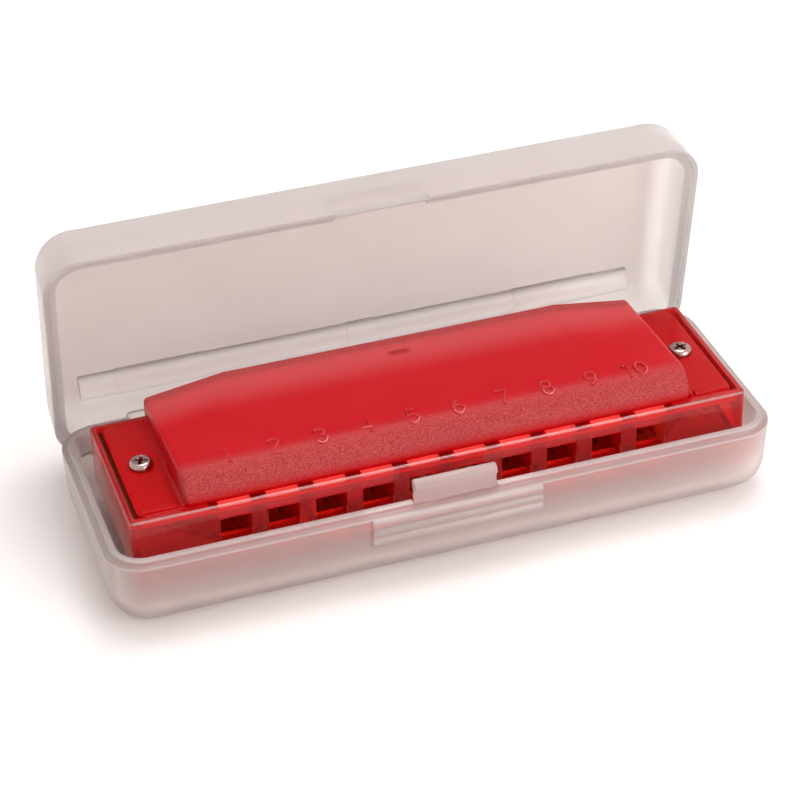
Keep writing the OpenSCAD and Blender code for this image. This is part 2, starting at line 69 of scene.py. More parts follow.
lens = bpy.data.cameras.new("camera")
lens.lens = LENS_MM
lens.sensor_width = 36
lens.clip_start = 0.01
lens.clip_end = 20
camera = bpy.data.objects.new("camera", lens)
bpy.context.scene.collection.objects.link(camera)
turn = Matrix((right, up, -ahead)).transposed().to_4x4()
camera.matrix_world = Matrix.Translation(VIEW_AIM - ahead * VIEW_DISTANCE) @ turn
bpy.context.scene.camera = camera
bpy.context.scene.view_settings.view_transform = "Standard"
print("camera at", [round(c, 3) for c in camera.matrix_world.translation])

# %% [markdown]
# Every new piece is modelled in millimetres, at its own place, and scaled to metres when it is finished. That
# keeps the numbers readable, and Blender's tools work better on a box 100 units long than on one of 0.1. Each starts as
# a plain block or bar. Everything is deselected first, because an operator acts on all that is selected.

# %% Blocks and bars
def start(name, size, centre):
    """A block of that size and centre, in millimetres, ready for edit mode."""
    bpy.ops.object.select_all(action="DESELECT")
    bpy.ops.mesh.primitive_cube_add(size=1, location=centre)
    piece = bpy.context.object
    piece.name = name
    piece.scale = size
    bpy.ops.object.transform_apply(location=True, rotation=False, scale=True)
    return piece


def rod(name, radius, length, centre, turn=(0, math.pi / 2, 0), sides=64):
    """A round bar along X, or turned another way."""
    bpy.ops.object.select_all(action="DESELECT")
    bpy.ops.mesh.primitive_cylinder_add(vertices=sides, radius=radius, depth=length, location=centre, rotation=turn)
    piece = bpy.context.object
    piece.name = name
    bpy.ops.object.transform_apply(location=True, rotation=True, scale=True)
    return piece


def only(piece):
    bpy.ops.object.select_all(action="DESELECT")
    piece.select_set(True)
    bpy.context.view_layer.objects.active = piece


def edit(piece, mode="FACE"):
    only(piece)
    bpy.ops.object.mode_set(mode="EDIT")
    bpy.ops.mesh.select_mode(type=mode)


def done():
    bpy.ops.object.mode_set(mode="OBJECT")

# %% [markdown]
# In the window a modeller clicks on the edges to round. A script has no mouse, so it says where an edge lies or which
# way a face looks: the test is given one after the other, and those that pass are selected.

# %% Choosing by place
def choose(group, test):
    """Selects the verts, edges or faces that pass the test, in edit mode."""
    mesh = bpy.context.edit_object.data
    form = bmesh.from_edit_mesh(mesh)
    for element in (*form.verts, *form.edges, *form.faces):
        element.select = False
    for element in getattr(form, group):
        if test(element):
            element.select_set(True)
    bmesh.update_edit_mesh(mesh)


def middle(edge):
    return (edge.verts[0].co + edge.verts[1].co) / 2


def upright(edge):
    """Whether an edge runs along Z."""
    run = edge.verts[1].co - edge.verts[0].co
    return abs(run.z) > 0.999 * run.length


def near(a, b, by=0.02):
    return abs(a - b) < by

# %% [markdown]
# Some forms are plainest seen from the end: the hinge moulding, the grip, the latch tab and the covers. Their outline
# is drawn by extruding one point along it, then filled and pulled out to its length. The end faces are rounded over by
# inset and move in turns, because a bevel stops short where the edges of a fine outline crowd together.

# %% Outlines and rounded ends
def arc(cy, cz, ry, rz, first, last, steps):
    """Points along an arc in the Y-Z plane, angles in degrees."""
    turn = [math.radians(first + (last - first) * k / steps) for k in range(steps + 1)]
    return [(cy + ry * math.cos(a), cz + rz * math.sin(a)) for a in turn]


def outline(name, points, x):
    """Draws a closed outline in the Y-Z plane at x, one extruded point after another, and fills it."""
    piece = start(name, (1, 1, 1), (x, 0, 0))
    edit(piece, "VERT")
    bpy.ops.mesh.select_all(action="SELECT")
    bpy.ops.mesh.merge(type="CENTER")
    y, z = points[0]
    bpy.ops.transform.translate(value=(0, y, z))
    for following in points[1:]:
        step = (0, following[0] - y, following[1] - z)
        bpy.ops.mesh.extrude_region_move(TRANSFORM_OT_translate={"value": step})
        y, z = following
    bpy.ops.mesh.select_all(action="SELECT")
    bpy.ops.mesh.edge_face_add()
    return piece


def round_cap(along, radius, steps):
    """Rounds the chosen end face over: it is inset and moved along a direction, step by step."""
    inward = outward = 0
    for k in range(1, steps + 1):
        angle = math.radians(90 * k / steps)
        bpy.ops.mesh.inset(thickness=radius * (1 - math.cos(angle)) - inward, use_even_offset=True)
        bpy.ops.transform.translate(value=Vector(along) * (radius * math.sin(angle) - outward))
        inward, outward = radius * (1 - math.cos(angle)), radius * math.sin(angle)


def prism(piece, width, cap, steps=4, x=0):
    """Makes a filled outline a bar along X, centred on x, with both ends rounded over by cap."""
    half = width / 2 - cap
    bpy.ops.transform.translate(value=(-half, 0, 0))
    bpy.ops.mesh.extrude_region_move(TRANSFORM_OT_translate={"value": (2 * half, 0, 0)})
    bpy.ops.mesh.select_all(action="SELECT")
    bpy.ops.mesh.normals_make_consistent(inside=False)
    bpy.ops.mesh.select_mode(type="FACE")
    for side in (-1, 1):
        choose("faces", lambda face: face.normal.x * side > 0.99 and near(abs(face.calc_center_median().x), half))
        round_cap((side, 0, 0), cap, steps)
    bpy.ops.mesh.select_all(action="SELECT")
    bpy.ops.transform.translate(value=(x, 0, 0))
    done()
    return piece


def round_edges(width, steps, clamp=True):
    bpy.ops.mesh.bevel(offset=width, segments=steps, profile=0.5, affect="EDGES", clamp_overlap=clamp)

# %% [markdown]
# Booleans saw and weld: each block that is cut away or welded on is used up. All the pieces here are closed solids, so
# the Manifold solver fits. It is fast, and what comes out of it is closed again.

# %% Cutting and joining
def apply(piece, kind, **settings):
    """Adds a modifier, sets it and applies it."""
    only(piece)
    made = piece.modifiers.new(kind.lower(), kind)
    for name, value in settings.items():
        setattr(made, name, value)
    bpy.ops.object.modifier_apply(modifier=made.name)


def combine(piece, tools, operation):
    """Cuts the tools out of the piece, or welds them to it, and removes them."""
    for tool in tools:
        apply(piece, "BOOLEAN", object=tool, operation=operation, solver="MANIFOLD")
        bpy.data.objects.remove(tool)


def join(pieces):
    only(pieces[0])
    for piece in pieces[1:]:
        piece.select_set(True)
    bpy.ops.object.join()
    return pieces[0]

# %% [markdown]
# The case is a flat box, a little wider than a hand, with generous roundings and a thin, even wall. Its sizes come
# first, in millimetres, because the lid, the latch and the finishes all refer to them.

# %% Sizes of the case
CASE_X, CASE_Y = 108.4, 39.6
CORNER, EDGE, LEAN, WALL = 6.2, 5.5, 0.3, 2.1
TRAY_H, FLOOR_T = 12.3, 1.6
LID_H, PANEL_T = 11.9, 1.3
TONGUE_T, TONGUE_H, TONGUE_GAP = 1.05, 0.8, 0.12
RIM_GAP = 0.1
HINGE_IN, HINGE_DOWN = 3.2, 2.65
HINGE_Y, HINGE_Z = CASE_Y / 2 - HINGE_IN, TRAY_H - HINGE_DOWN
OPEN_ANGLE = 81.5
ARM_X, ARM_W, ARM_T, ARM_GAP = 34.5, 14.8, 1.6, 0.2
PIN_R, PIN_LEN, BARREL_R, LUG_W, LUG_R = 0.8, 1.7, 1.5, 2.8, 1.85
INSIDE_Y = CASE_Y / 2 - WALL
LEDGE = TRAY_H
RIM_SOFT, ROUND_STEPS = 0.2, 14
print("case:", CASE_X, "by", CASE_Y, "mm, hinge axis at", round(HINGE_Y, 2), round(HINGE_Z, 2))

# %% [markdown]
# The case's two halves are the same dish, one of them turned over. A block gets its four upright edges rounded, leans
# in a little towards its base, as a moulding must to leave its mould, and has the edge round the base rounded too. The
# open side is then inset and pushed in step by step: that makes the ledge, the tongue and the inside in one go. The
# Solidify modifier could make the wall, but not this stepped rim.

# %% A dish with a stepped rim
def lean_in(z):
    """Draws the chosen face in by the lean on every side."""
    bpy.ops.transform.resize(value=(1 - 2 * LEAN / CASE_X, 1 - 2 * LEAN / CASE_Y, 1), center_override=(0, 0, z))


def dish(name, height, base, steps):
    """A case half, rim up. steps lists how far each part of the rim is inset and the level it then goes to."""
    piece = start(name, (CASE_X, CASE_Y, height - EDGE), (0, 0, (height + EDGE) / 2))
    edit(piece, "EDGE")
    choose("edges", upright)
    round_edges(CORNER, ROUND_STEPS)
    bpy.ops.mesh.select_mode(type="FACE")
    choose("faces", lambda face: face.normal.z < -0.9)
    lean_in(EDGE)
    round_cap((0, 0, -1), EDGE, ROUND_STEPS)
    choose("faces", lambda face: face.normal.z > 0.9 and near(face.calc_center_median().z, height))
    inner_edge = min(EDGE - base, CORNER - WALL - 0.1)
    for inset, level in steps:
        bpy.ops.mesh.inset(thickness=inset, use_even_offset=True)
        if level != height:
            rise = (0, 0, level - height)
            bpy.ops.mesh.extrude_region_move(TRANSFORM_OT_translate={"value": rise})
        height = level
    bpy.ops.transform.translate(value=(0, 0, inner_edge))
    lean_in(base + inner_edge)
    round_cap((0, 0, -1), inner_edge, ROUND_STEPS)
    return piece


def soften(piece, width, levels, steps=3):
    """Rounds the sharp level edges at the given heights."""
    edit(piece, "EDGE")
    choose("edges", lambda edge: len(edge.link_faces) == 2 and edge.calc_face_angle(0) > 0.6
           and any(all(near(v.co.z, level) for v in edge.verts) for level in levels))
    round_edges(width, steps)
    done()

# %% [markdown]
# The tray is that dish as it stands: its rim first goes up to the tongue's top, and then down to the floor. The rim's
# sharp edges are softened a little at the end, when their heights are easy to name.

# %% Tray
tray = dish("tray", TRAY_H, FLOOR_T, [(WALL - TONGUE_T, TRAY_H + TONGUE_H), (TONGUE_T, FLOOR_T)])
done()
soften(tray, RIM_SOFT, [TRAY_H, TRAY_H + TONGUE_H])
print("tray:", len(tray.data.polygons), "faces")

# %% [markdown]
# The lid's arms turn between round lugs at the tray's back wall. A bar makes the lug and a block joins it to the wall.
# A rounded block would do as well, but the bar lies on the hinge axis by itself.

# %% Tray: hinge lugs
lugs = []
for side in (-1, 1):
    for end in (-1, 1):
        x = side * ARM_X + end * (ARM_W / 2 + ARM_GAP + LUG_W / 2)
        lugs.append(rod("lug", LUG_R, LUG_W, (x, HINGE_Y, HINGE_Z), sides=48))
        web = HINGE_IN - WALL / 2
        lugs.append(start("lug_web", (LUG_W, web, 2 * LUG_R), (x, HINGE_Y + web / 2, HINGE_Z)))
combine(tray, lugs, "UNION")
print("lugs:", len(lugs) // 2)

# %% [markdown]
# Three low ribs under the latch give the thumb a hold. They are one scalloped outline, pulled out to the grip's width,
# because three separate bars would leave hard seams between them.

# %% Tray: grip
GRIP_W, GRIP_H, GRIP_OUT, GRIP_CAP, RIBS = 27.6, 5.1, 0.6, 0.3, 3
GRIP_TOP, GRIP_ROOT, GRIP_SUNK = LEDGE - 0.04, -CASE_Y / 2 + 0.9, 0.15
rib_h = GRIP_H / RIBS
grip_line = [(GRIP_ROOT, GRIP_TOP)]
for i in range(RIBS):
    grip_line += arc(-CASE_Y / 2 + 0.05, GRIP_TOP - rib_h * (i + 0.5), GRIP_OUT + GRIP_SUNK, rib_h / 2, 96, 264, 12)
grip_line.append((GRIP_ROOT, GRIP_TOP - GRIP_H))
grip = outline("grip", grip_line, 0)
prism(grip, GRIP_W, GRIP_CAP)
combine(tray, [grip], "UNION")
print("ribs:", RIBS)

# %% [markdown]
# The back wall is cut away where each arm swings through, and the lugs are bored for the pins. A fine line runs along
# the inside of the back wall. At the front, the tongue gets a gap with a round seat that the latch tab bends in.

# %% Tray: notches, bores and latch seat
TAB_W, TAB_GAP, SEAT_GAP = 13.3, 0.25, 0.1
TAB_Y = -CASE_Y / 2 + WALL - TONGUE_T / 2
TAB_FACE = TAB_Y - TONGUE_T / 2
TAB_ROOT = LEDGE + TONGUE_T / 2
NOTCH, ROOM_UNDER, ROOM_BEFORE, PIN_GAP = 12, 0.6, 0.4, 0.05
LINE_W, LINE_H, LINE_DOWN, LINE_DEEP = 102.4, 0.45, 3.2, 0.5

cuts = []
for side in (-1, 1):
    width, foot = ARM_W + 2 * ARM_GAP, HINGE_Z - BARREL_R - ROOM_UNDER
    notch_at = (side * ARM_X, HINGE_Y - BARREL_R - ROOM_BEFORE + NOTCH / 2, foot + NOTCH / 2)
    cuts.append(start("notch", (width, NOTCH, NOTCH), notch_at))
    cuts.append(rod("bore", PIN_R + PIN_GAP, width + 2 * LUG_W + 1, (side * ARM_X, HINGE_Y, HINGE_Z), sides=32))
line_at = (0, INSIDE_Y - LINE_DEEP / 2, LEDGE - LINE_DOWN - LINE_H / 2)
cuts.append(start("line", (LINE_W, 3 * LINE_DEEP, LINE_H), line_at))
seat = TAB_W + 2 * TAB_GAP
cuts.append(start("seat", (seat, TONGUE_T + 0.6, 2), (0, TAB_Y, LEDGE + 1)))
cuts.append(rod("seat_round", TONGUE_T / 2 + SEAT_GAP, seat, (0, TAB_Y, TAB_ROOT), sides=32))
combine(tray, cuts, "DIFFERENCE")
print("cuts:", len(cuts))

# %% [markdown]
# Two low bars on the floor carry the mouth organ, and a pad on the outside of the back wall stops the opened lid. They
# are blocks welded in place, the bars with softened tops so that they catch a little light.

# %% Tray: rests and stop pad
REST, REST_Z, REST_YS = (64, 1.2, 1.95), 1.775, (9.2, -2.8)
PAD, PAD_AT = (22, 1.086, 1.6), (0, 19.293, 6.90)
rests = []
for y in REST_YS:
    rest = start("rest", REST, (0, y, REST_Z))
    edit(rest, "EDGE")
    choose("edges", lambda edge: middle(edge).z > REST_Z + REST[2] / 2 - 0.05)
    round_edges(0.2, 2)
    done()
    rests.append(rest)
combine(tray, rests, "UNION")
combine(tray, [start("stop_pad", PAD, PAD_AT)], "UNION")
print("rests:", len(rests))

# %% [markdown]
# The lid is the same dish turned over, with a rebate in its rim that drops over the tray's tongue. It is modelled shut,
# where everything is square, and turned back on its hinge at the very end. Modelled open, each cut would need an angle.

# %% Lid shell
RIM = TRAY_H + RIM_GAP
TOP = RIM + LID_H
PANEL = TOP - PANEL_T
rebate = TONGUE_H - RIM_GAP + TONGUE_GAP
lid = dish("lid", LID_H, PANEL_T, [
    (WALL - TONGUE_T - TONGUE_GAP, LID_H - rebate),
    (TONGUE_T + TONGUE_GAP, PANEL_T),
])
done()
soften(lid, RIM_SOFT, [LID_H])
lid.rotation_euler.x = math.pi
lid.location.z = TOP
only(lid)
bpy.ops.object.transform_apply(location=True, rotation=True, scale=True)
print("lid:", len(lid.data.polygons), "faces, from", round(RIM, 2), "to", round(TOP, 2))

# %% [markdown]
# The lid's back edge has to pass the tray's as it swings, so it is hollowed round the hinge axis. The cutter is a long
# bar on that axis. Its ends grow thinner step by step, as the tray's corners curve away from the axis there.

# %% Lid: room to swing
STRAIGHT, SWING_GAP, SWING_STEPS = CASE_X / 2 - CORNER, 0.12, 8


def swing_radius(x):
    """How far the tray's back edge reaches from the hinge axis at x, where its corner curves away."""
    over = max(0, abs(x) - STRAIGHT)
    back = HINGE_IN - CORNER + math.sqrt(max(0, CORNER**2 - over**2))
    return math.hypot(max(0, back), HINGE_DOWN) + SWING_GAP


room = rod("swing_room", swing_radius(0), 2 * STRAIGHT, (0, HINGE_Y, HINGE_Z), sides=96)
edit(room)
for side in (-1, 1):
    choose("faces", lambda face: face.normal.x * side > 0.9)
    for k in range(SWING_STEPS):
        x = STRAIGHT + CORNER * (k + 1) / SWING_STEPS
        grow = swing_radius(x) / swing_radius(STRAIGHT + CORNER * k / SWING_STEPS)
        bpy.ops.mesh.extrude_region_move(TRANSFORM_OT_translate={"value": (side * CORNER / SWING_STEPS, 0, 0)})
        bpy.ops.transform.resize(value=(1, grow, grow), center_override=(side * x, HINGE_Y, HINGE_Z))
done()
combine(lid, [room], "DIFFERENCE")
print("swing radius:", round(swing_radius(0), 2), "mm, at the ends", round(swing_radius(CASE_X / 2), 2))

# %% [markdown]
# Inside the lid a round moulding runs along the hinge, with three slightly prouder bands. Each is the same outline, a
# round with its back sunk in the wall, pulled out to its own length.

# %% Lid: hinge moulding
MOULDING_R, MOULDING_OUT, MOULDING_W = 2.6, 2.0, 96
BAND_STEP, BAND_W = 0.14, 4.9
MOULDING_Y, MOULDING_Z = INSIDE_Y - MOULDING_R, PANEL - MOULDING_OUT + MOULDING_R

moulding = []
for x, width, radius in (
    (0, MOULDING_W, MOULDING_R),
    (0, BAND_W, MOULDING_R + BAND_STEP),
    (-ARM_X, ARM_W, MOULDING_R + BAND_STEP),
    (ARM_X, ARM_W, MOULDING_R + BAND_STEP),
):
    line = arc(MOULDING_Y, MOULDING_Z, radius, radius, 180, 330, 40)
    bar = outline("moulding", [*line, (MOULDING_Y + 1.1, PANEL + 0.4)], 0)
    moulding.append(prism(bar, width, 0.1, x=x))
combine(lid, moulding, "UNION")
print("moulding: bar and", len(moulding) - 1, "bands")

# %% [markdown]
# Two flat arms hang from the moulding's bands and snap into the tray's lugs. Each is a strip with a block behind it,
# a round barrel on the hinge axis and a pin through the barrel. The strip and the block have all their edges rounded,
# as the milky plastic would show every sharp one.

# %% Lid: arms
ARM_TOP, ARM_ROUND = LEDGE + 4, 0.7
block_foot = HINGE_Z + swing_radius(0) + 0.2
arms = []
for side in (-1, 1):
    x = side * ARM_X
    arm = start("arm", (ARM_W, ARM_T, ARM_TOP - HINGE_Z), (x, HINGE_Y, (ARM_TOP + HINGE_Z) / 2))
    depth = HINGE_IN - WALL / 2 + ARM_T / 2
    block = start("arm_block", (ARM_W, depth, ARM_TOP - block_foot),
                  (x, HINGE_Y - ARM_T / 2 + depth / 2, (ARM_TOP + block_foot) / 2))
    for strip in (arm, block):
        edit(strip, "EDGE")
        bpy.ops.mesh.select_all(action="SELECT")
        round_edges(ARM_ROUND, 5)
        done()
    barrel = rod("barrel", BARREL_R, ARM_W, (x, HINGE_Y, HINGE_Z), sides=48)
    pin = rod("pin", PIN_R, ARM_W + 2 * (ARM_GAP + PIN_LEN), (x, HINGE_Y, HINGE_Z), sides=32)
    arms += [arm, block, barrel, pin]
combine(lid, arms, "UNION")
print("hinge arms:", len(arms) // 4)

# %% [markdown]
# At the front the lid's wall is hollowed for the latch tab, deeper where the tab's bead sits. The rim is bevelled
# there, which lets the bead slide in. The bevel's cutter is a block with its upper inner edge pushed outwards.

# %% Lid: latch pocket
BEAD_R, TAB_H, BEAD_OUT = 0.95, 4.55, 0.45
BEAD_Y, BEAD_Z = TAB_FACE - BEAD_OUT + BEAD_R, LEDGE + TAB_H - BEAD_R
POCKET_W, POCKET_TOP, POCKET_GAP = 15.1, LEDGE + TAB_H + 0.2, 0.1
lip_face, bead_face = TAB_FACE - POCKET_GAP, BEAD_Y - BEAD_R - POCKET_GAP
catch_z = BEAD_Z - BEAD_R - POCKET_GAP
slip = start("slip", (POCKET_W, -INSIDE_Y + 1 - lip_face, POCKET_TOP - RIM + 1),
             (0, (lip_face - INSIDE_Y + 1) / 2, (POCKET_TOP + RIM - 1) / 2))
catch = start("catch", (POCKET_W, lip_face - bead_face + 1, POCKET_TOP - catch_z),
              (0, (bead_face + lip_face + 1) / 2, (POCKET_TOP + catch_z) / 2))
bevel_h, bevel_d = 1.1, 0.65
bevel_in = -CASE_Y / 2 + bevel_d * (1 + 1 / bevel_h)
bevel = start("bevel", (POCKET_W, bevel_in + CASE_Y / 2 + 1, bevel_h + 1),
              (0, (bevel_in - CASE_Y / 2 - 1) / 2, RIM + (bevel_h - 1) / 2))
edit(bevel, "EDGE")
choose("edges", lambda edge: middle(edge).y > bevel_in - 0.01 and middle(edge).z > RIM + bevel_h - 0.01)
bpy.ops.transform.translate(value=(0, -CASE_Y / 2 - bevel_in, 0))
done()
combine(lid, [slip, catch, bevel], "DIFFERENCE")
print("latch pocket:", POCKET_W, "mm wide")

# %% [markdown]
# The finished lid now turns back on its hinge to the pose in the picture. One matrix does it: to the axis, round it,
# and back again.

# %% Lid: swing open
hinge = Vector((0, HINGE_Y, HINGE_Z))
swing = Matrix.Rotation(math.radians(-OPEN_ANGLE), 4, "X")
lid.matrix_world = Matrix.Translation(hinge) @ swing @ Matrix.Translation(-hinge) @ lid.matrix_world
only(lid)
bpy.ops.object.transform_apply(location=True, rotation=True, scale=True)
print("lid swung back:", OPEN_ANGLE, "degrees")

# %% [markdown]
# The latch tab is a short upright strip with a thick round bead along its top, which the lid's pocket snaps over. Seen
# from the end it is a keyhole, so it is drawn as one outline: half a turn for the root, most of a turn for the bead.

# %% Latch tab
TAB_CAP = 0.15
half_t = TONGUE_T / 2
inner = math.degrees(math.acos((TAB_Y + half_t - BEAD_Y) / BEAD_R))
outer = math.degrees(math.acos((TAB_Y - half_t - BEAD_Y) / BEAD_R))
root_line = arc(TAB_Y, TAB_ROOT, half_t, half_t, 180, 360, 12)
bead_line = arc(BEAD_Y, BEAD_Z, BEAD_R, BEAD_R, -inner, 360 - outer, 40)
tab = outline("latch_tab_piece", root_line + bead_line, 0)
prism(tab, TAB_W, TAB_CAP)
print("latch tab:", len(tab.data.polygons), "faces")

# %% [markdown]
# The comb is the body of the mouth organ: a block of clear red plastic with ten channels that run from the holes in
# its front to a solid back. Shallow beds in its top and underside take the brass reed plates and the covers' flanges.
# It starts as a block with softened edges, and the beds are cut with blocks whose own upright edges are rounded.

# %% Comb: block and beds
HARP_Y, HARP_Z = -1.7, 12.75
COMB_X, COMB_Y, COMB_Z = 99.8, 27.0, 9.7
PITCH, HOLES, HOLE_W, HOLE_H = 7.5, 10, 4.95, 4.6
HOLE_X = [(i - (HOLES - 1) / 2) * PITCH for i in range(HOLES)]
COMB_FRONT, COMB_BACK, COMB_TOP = HARP_Y - COMB_Y / 2, HARP_Y + COMB_Y / 2, HARP_Z + COMB_Z / 2
RIM_FRONT, RIM_SIDE = 1.2, 0.9
COVER_T, PLATE_T = 1.0, 0.9
FLANGE_TOP = COMB_TOP + 0.05
PLATE_LOW = FLANGE_TOP - COVER_T - PLATE_T
BED_FRONT, BED_BACK, BED_H = COMB_FRONT + RIM_FRONT, COMB_BACK - RIM_SIDE, 5
COMB_CORNER, COMB_EDGE, BED_CORNER = 0.8, 0.25, 0.5

comb = start("comb_block", (COMB_X, COMB_Y, COMB_Z), (0, HARP_Y, HARP_Z))
edit(comb, "EDGE")
choose("edges", upright)
round_edges(COMB_CORNER, 6)
choose("edges", lambda edge: near(edge.verts[0].co.z, edge.verts[1].co.z))
round_edges(COMB_EDGE, 3)
done()

beds = []
for side in (-1, 1):
    z = HARP_Z + side * (PLATE_LOW - HARP_Z + BED_H / 2)
    bed = start("bed", (COMB_X - 2 * RIM_SIDE, BED_BACK - BED_FRONT, BED_H), (0, (BED_FRONT + BED_BACK) / 2, z))
    edit(bed, "EDGE")
    choose("edges", upright)
    round_edges(BED_CORNER, 4)
    done()
    beds.append(bed)
combine(comb, beds, "DIFFERENCE")
print("comb:", COMB_X, "by", COMB_Y, "by", COMB_Z, "mm")

# %% [markdown]
# Each channel is a tall slot between the two plates, and its mouth at the front is a lower window. The ten are alike,
# so a loop sets them at the holes' pitch. They are joined and cut in one go, and a last bevel takes the sharpness off.

# %% Comb: channels
CHANNEL_FRONT, CHANNEL_BACK, CHANNEL_H = COMB_FRONT + 2.6, COMB_BACK - 3.3, 12
MOUTH_Y, MOUTH_DEEP = COMB_FRONT + 1.5, 6
SCREW_X, SCREW_Y, SCREW_WAY = 44.7, COMB_FRONT + 14, 1.05
channels, mouths = [], []
for x in HOLE_X:
    channel_at = (x, (CHANNEL_FRONT + CHANNEL_BACK) / 2, HARP_Z)
    channels.append(start("channel", (HOLE_W, CHANNEL_BACK - CHANNEL_FRONT, CHANNEL_H), channel_at))
    mouths.append(start("mouth", (HOLE_W, MOUTH_DEEP, HOLE_H), (x, MOUTH_Y, HARP_Z)))
for side in (-1, 1):
    channels.append(rod("screw_way", SCREW_WAY, 14, (side * SCREW_X, SCREW_Y, HARP_Z), turn=(0, 0, 0), sides=32))
combine(comb, [join(channels), join(mouths)], "DIFFERENCE")
apply(comb, "BEVEL", width=0.09, segments=2, limit_method="ANGLE", angle_limit=math.radians(50), harden_normals=False)
print("comb:", len(comb.data.polygons), "faces")

# %% [markdown]
# Each cover is a thin shell. Seen from the end, its front is a round bulge that the lips slide along. Its top is level
# in the middle and falls away towards both ends, so the outline is extruded in three lengths and the ends' tops are
# moved down. A block with bevels would not do, because the bulge is an ellipse that meets the top at an angle.

# %% Cover form
BODY_HALF, HIGH_HALF = 41.0, 27.5
HIGH_H, LOW_H, BULGE_H, BULGE_D = 5.1, 3.1, 4.65, 4.8
COVER_FRONT, COVER_BACK = BED_FRONT + 0.05, COMB_BACK + 0.1
END_CAP, KINK_ROUND = 0.8, 4
FLANGE_HALF = COMB_X / 2 - RIM_SIDE - 0.75


def cover_form(name, inset):
    """The solid form of a cover's raised body, drawn in all round by inset, and run on below and behind by it."""
    cap = END_CAP if inset == 0 else 0.1
    half, front, back = BODY_HALF - inset - cap, COVER_FRONT + inset, COVER_BACK + inset
    low, top = FLANGE_TOP - COVER_T - inset, COMB_TOP + HIGH_H - inset
    bulge = arc(COVER_FRONT + BULGE_D, COMB_TOP, BULGE_D - inset, BULGE_H - inset, 180, 100, 20)
    form = outline(name, [(back, low), (front, low), *bulge, (back, top)], -half)
    for x in (-HIGH_HALF, HIGH_HALF, half):
        run = x - max(v.co.x for v in bmesh.from_edit_mesh(form.data).verts)
        bpy.ops.mesh.extrude_region_move(TRANSFORM_OT_translate={"value": (run, 0, 0)})
    choose("verts", lambda vert: near(vert.co.z, top) and abs(vert.co.x) > half - 0.1)
    fall = (HIGH_H - LOW_H) * (half - HIGH_HALF) / (BODY_HALF - HIGH_HALF)
    bpy.ops.transform.translate(value=(0, 0, -fall))
    bpy.ops.mesh.select_all(action="SELECT")
    bpy.ops.mesh.normals_make_consistent(inside=False)
    bpy.ops.mesh.select_mode(type="FACE")
    for side in (-1, 1):
        choose("faces", lambda face: face.normal.x * side > 0.99)
        round_cap((side, 0, 0), cap, 5)
    bpy.ops.mesh.select_mode(type="EDGE")
    choose("edges", lambda edge: all(near(abs(v.co.x), HIGH_HALF) and v.co.y > COVER_FRONT + 3.5 for v in edge.verts)
           and max(v.co.z for v in edge.verts) > top - 1)
    round_edges(KINK_ROUND, 6)
    done()
    return form


cover = cover_form("cover_piece", 0)
print("cover form:", len(cover.data.polygons), "faces")

# %% [markdown]
# A flat flange carries the cover in the comb's bed and takes a screw at each end. Where the raised body meets it, a
# narrow hollow fillet runs along: a small block with a quarter round cut out of it, because a bevel can't fill a corner
# between two pieces.

# %% Cover: flange and coves
FLANGE_BACK, FLANGE_CORNER, FLANGE_EDGE, COVE = BED_BACK - 0.1, 1.5, 0.2, 0.9
flange_long, flange_y = FLANGE_BACK - COVER_FRONT, (COVER_FRONT + FLANGE_BACK) / 2
flange = start("flange", (2 * FLANGE_HALF, flange_long, COVER_T), (0, flange_y, FLANGE_TOP - COVER_T / 2))
edit(flange, "EDGE")
choose("edges", upright)
round_edges(FLANGE_CORNER, 8)
choose("edges", lambda edge: all(near(v.co.z, FLANGE_TOP) for v in edge.verts))
round_edges(FLANGE_EDGE, 3)
done()
combine(cover, [flange], "UNION")
coves = []
for side in (-1, 1):
    length = flange_long - 0.5
    spot = (side * (BODY_HALF + COVE / 2 - 0.05), flange_y, FLANGE_TOP + COVE / 2 - 0.05)
    cove = start("cove", (COVE + 0.1, length, COVE + 0.1), spot)
    hollow_at = (side * (BODY_HALF + COVE), flange_y, FLANGE_TOP + COVE)
    combine(cove, [rod("cove_cut", COVE, length + 2, hollow_at, turn=(math.pi / 2, 0, 0), sides=64)], "DIFFERENCE")
    coves.append(cove)
combine(cover, coves, "UNION")
print("cover:", len(cover.data.polygons), "faces")

# %% [markdown]
# The same form, drawn in by the wall, is cut out to leave the shell, open at the back to let the sound out. Solidify
# could make the wall as well, but it would thicken the flange too. Then come the screws' ways, a thin lip at the front
# of each flange and the post inside that stiffens the top.

# %% Cover: shell, lips and post
LIP_D, LIP_H, LIP_EDGE = 1.2, 0.5, 0.14
POST, POST_Y, POST_CORNER = (3.2, 1.4, 5.0), COMB_BACK - 4.2, 0.6
hollow = cover_form("hollow", COVER_T)
back_rim = start("back_rim", (120, 20, 20), (0, BED_BACK - 0.05 + 10, FLANGE_TOP - 10))
cuts = [hollow, back_rim]
for side in (-1, 1):
    cuts.append(rod("screw_way", SCREW_WAY, 20, (side * SCREW_X, SCREW_Y, HARP_Z + 6), turn=(0, 0, 0), sides=32))
combine(cover, cuts, "DIFFERENCE")
lips = []
for side in (-1, 1):
    length, x = FLANGE_HALF - BODY_HALF - 1.6, side * (BODY_HALF + FLANGE_HALF + 0.4) / 2
    lip = start("lip", (length, LIP_D, LIP_H), (x, COVER_FRONT + 1.0, FLANGE_TOP + 0.05))
    edit(lip, "EDGE")
    choose("edges", lambda edge: middle(edge).z > FLANGE_TOP + 0.2)
    round_edges(LIP_EDGE, 3)
    done()
    lips.append(lip)
post = start("post", POST, (0, POST_Y, FLANGE_TOP + 1.4))
edit(post, "EDGE")
choose("edges", upright)
round_edges(POST_CORNER, 5)
done()
combine(cover, [*lips, post], "UNION")
print("cover shell:", len(cover.data.polygons), "faces")

# %% [markdown]
# The lower cover is the upper one's mirror image. A copy is given a negative scale, and its normals are made consistent
# again, because a mirrored mesh is inside out.

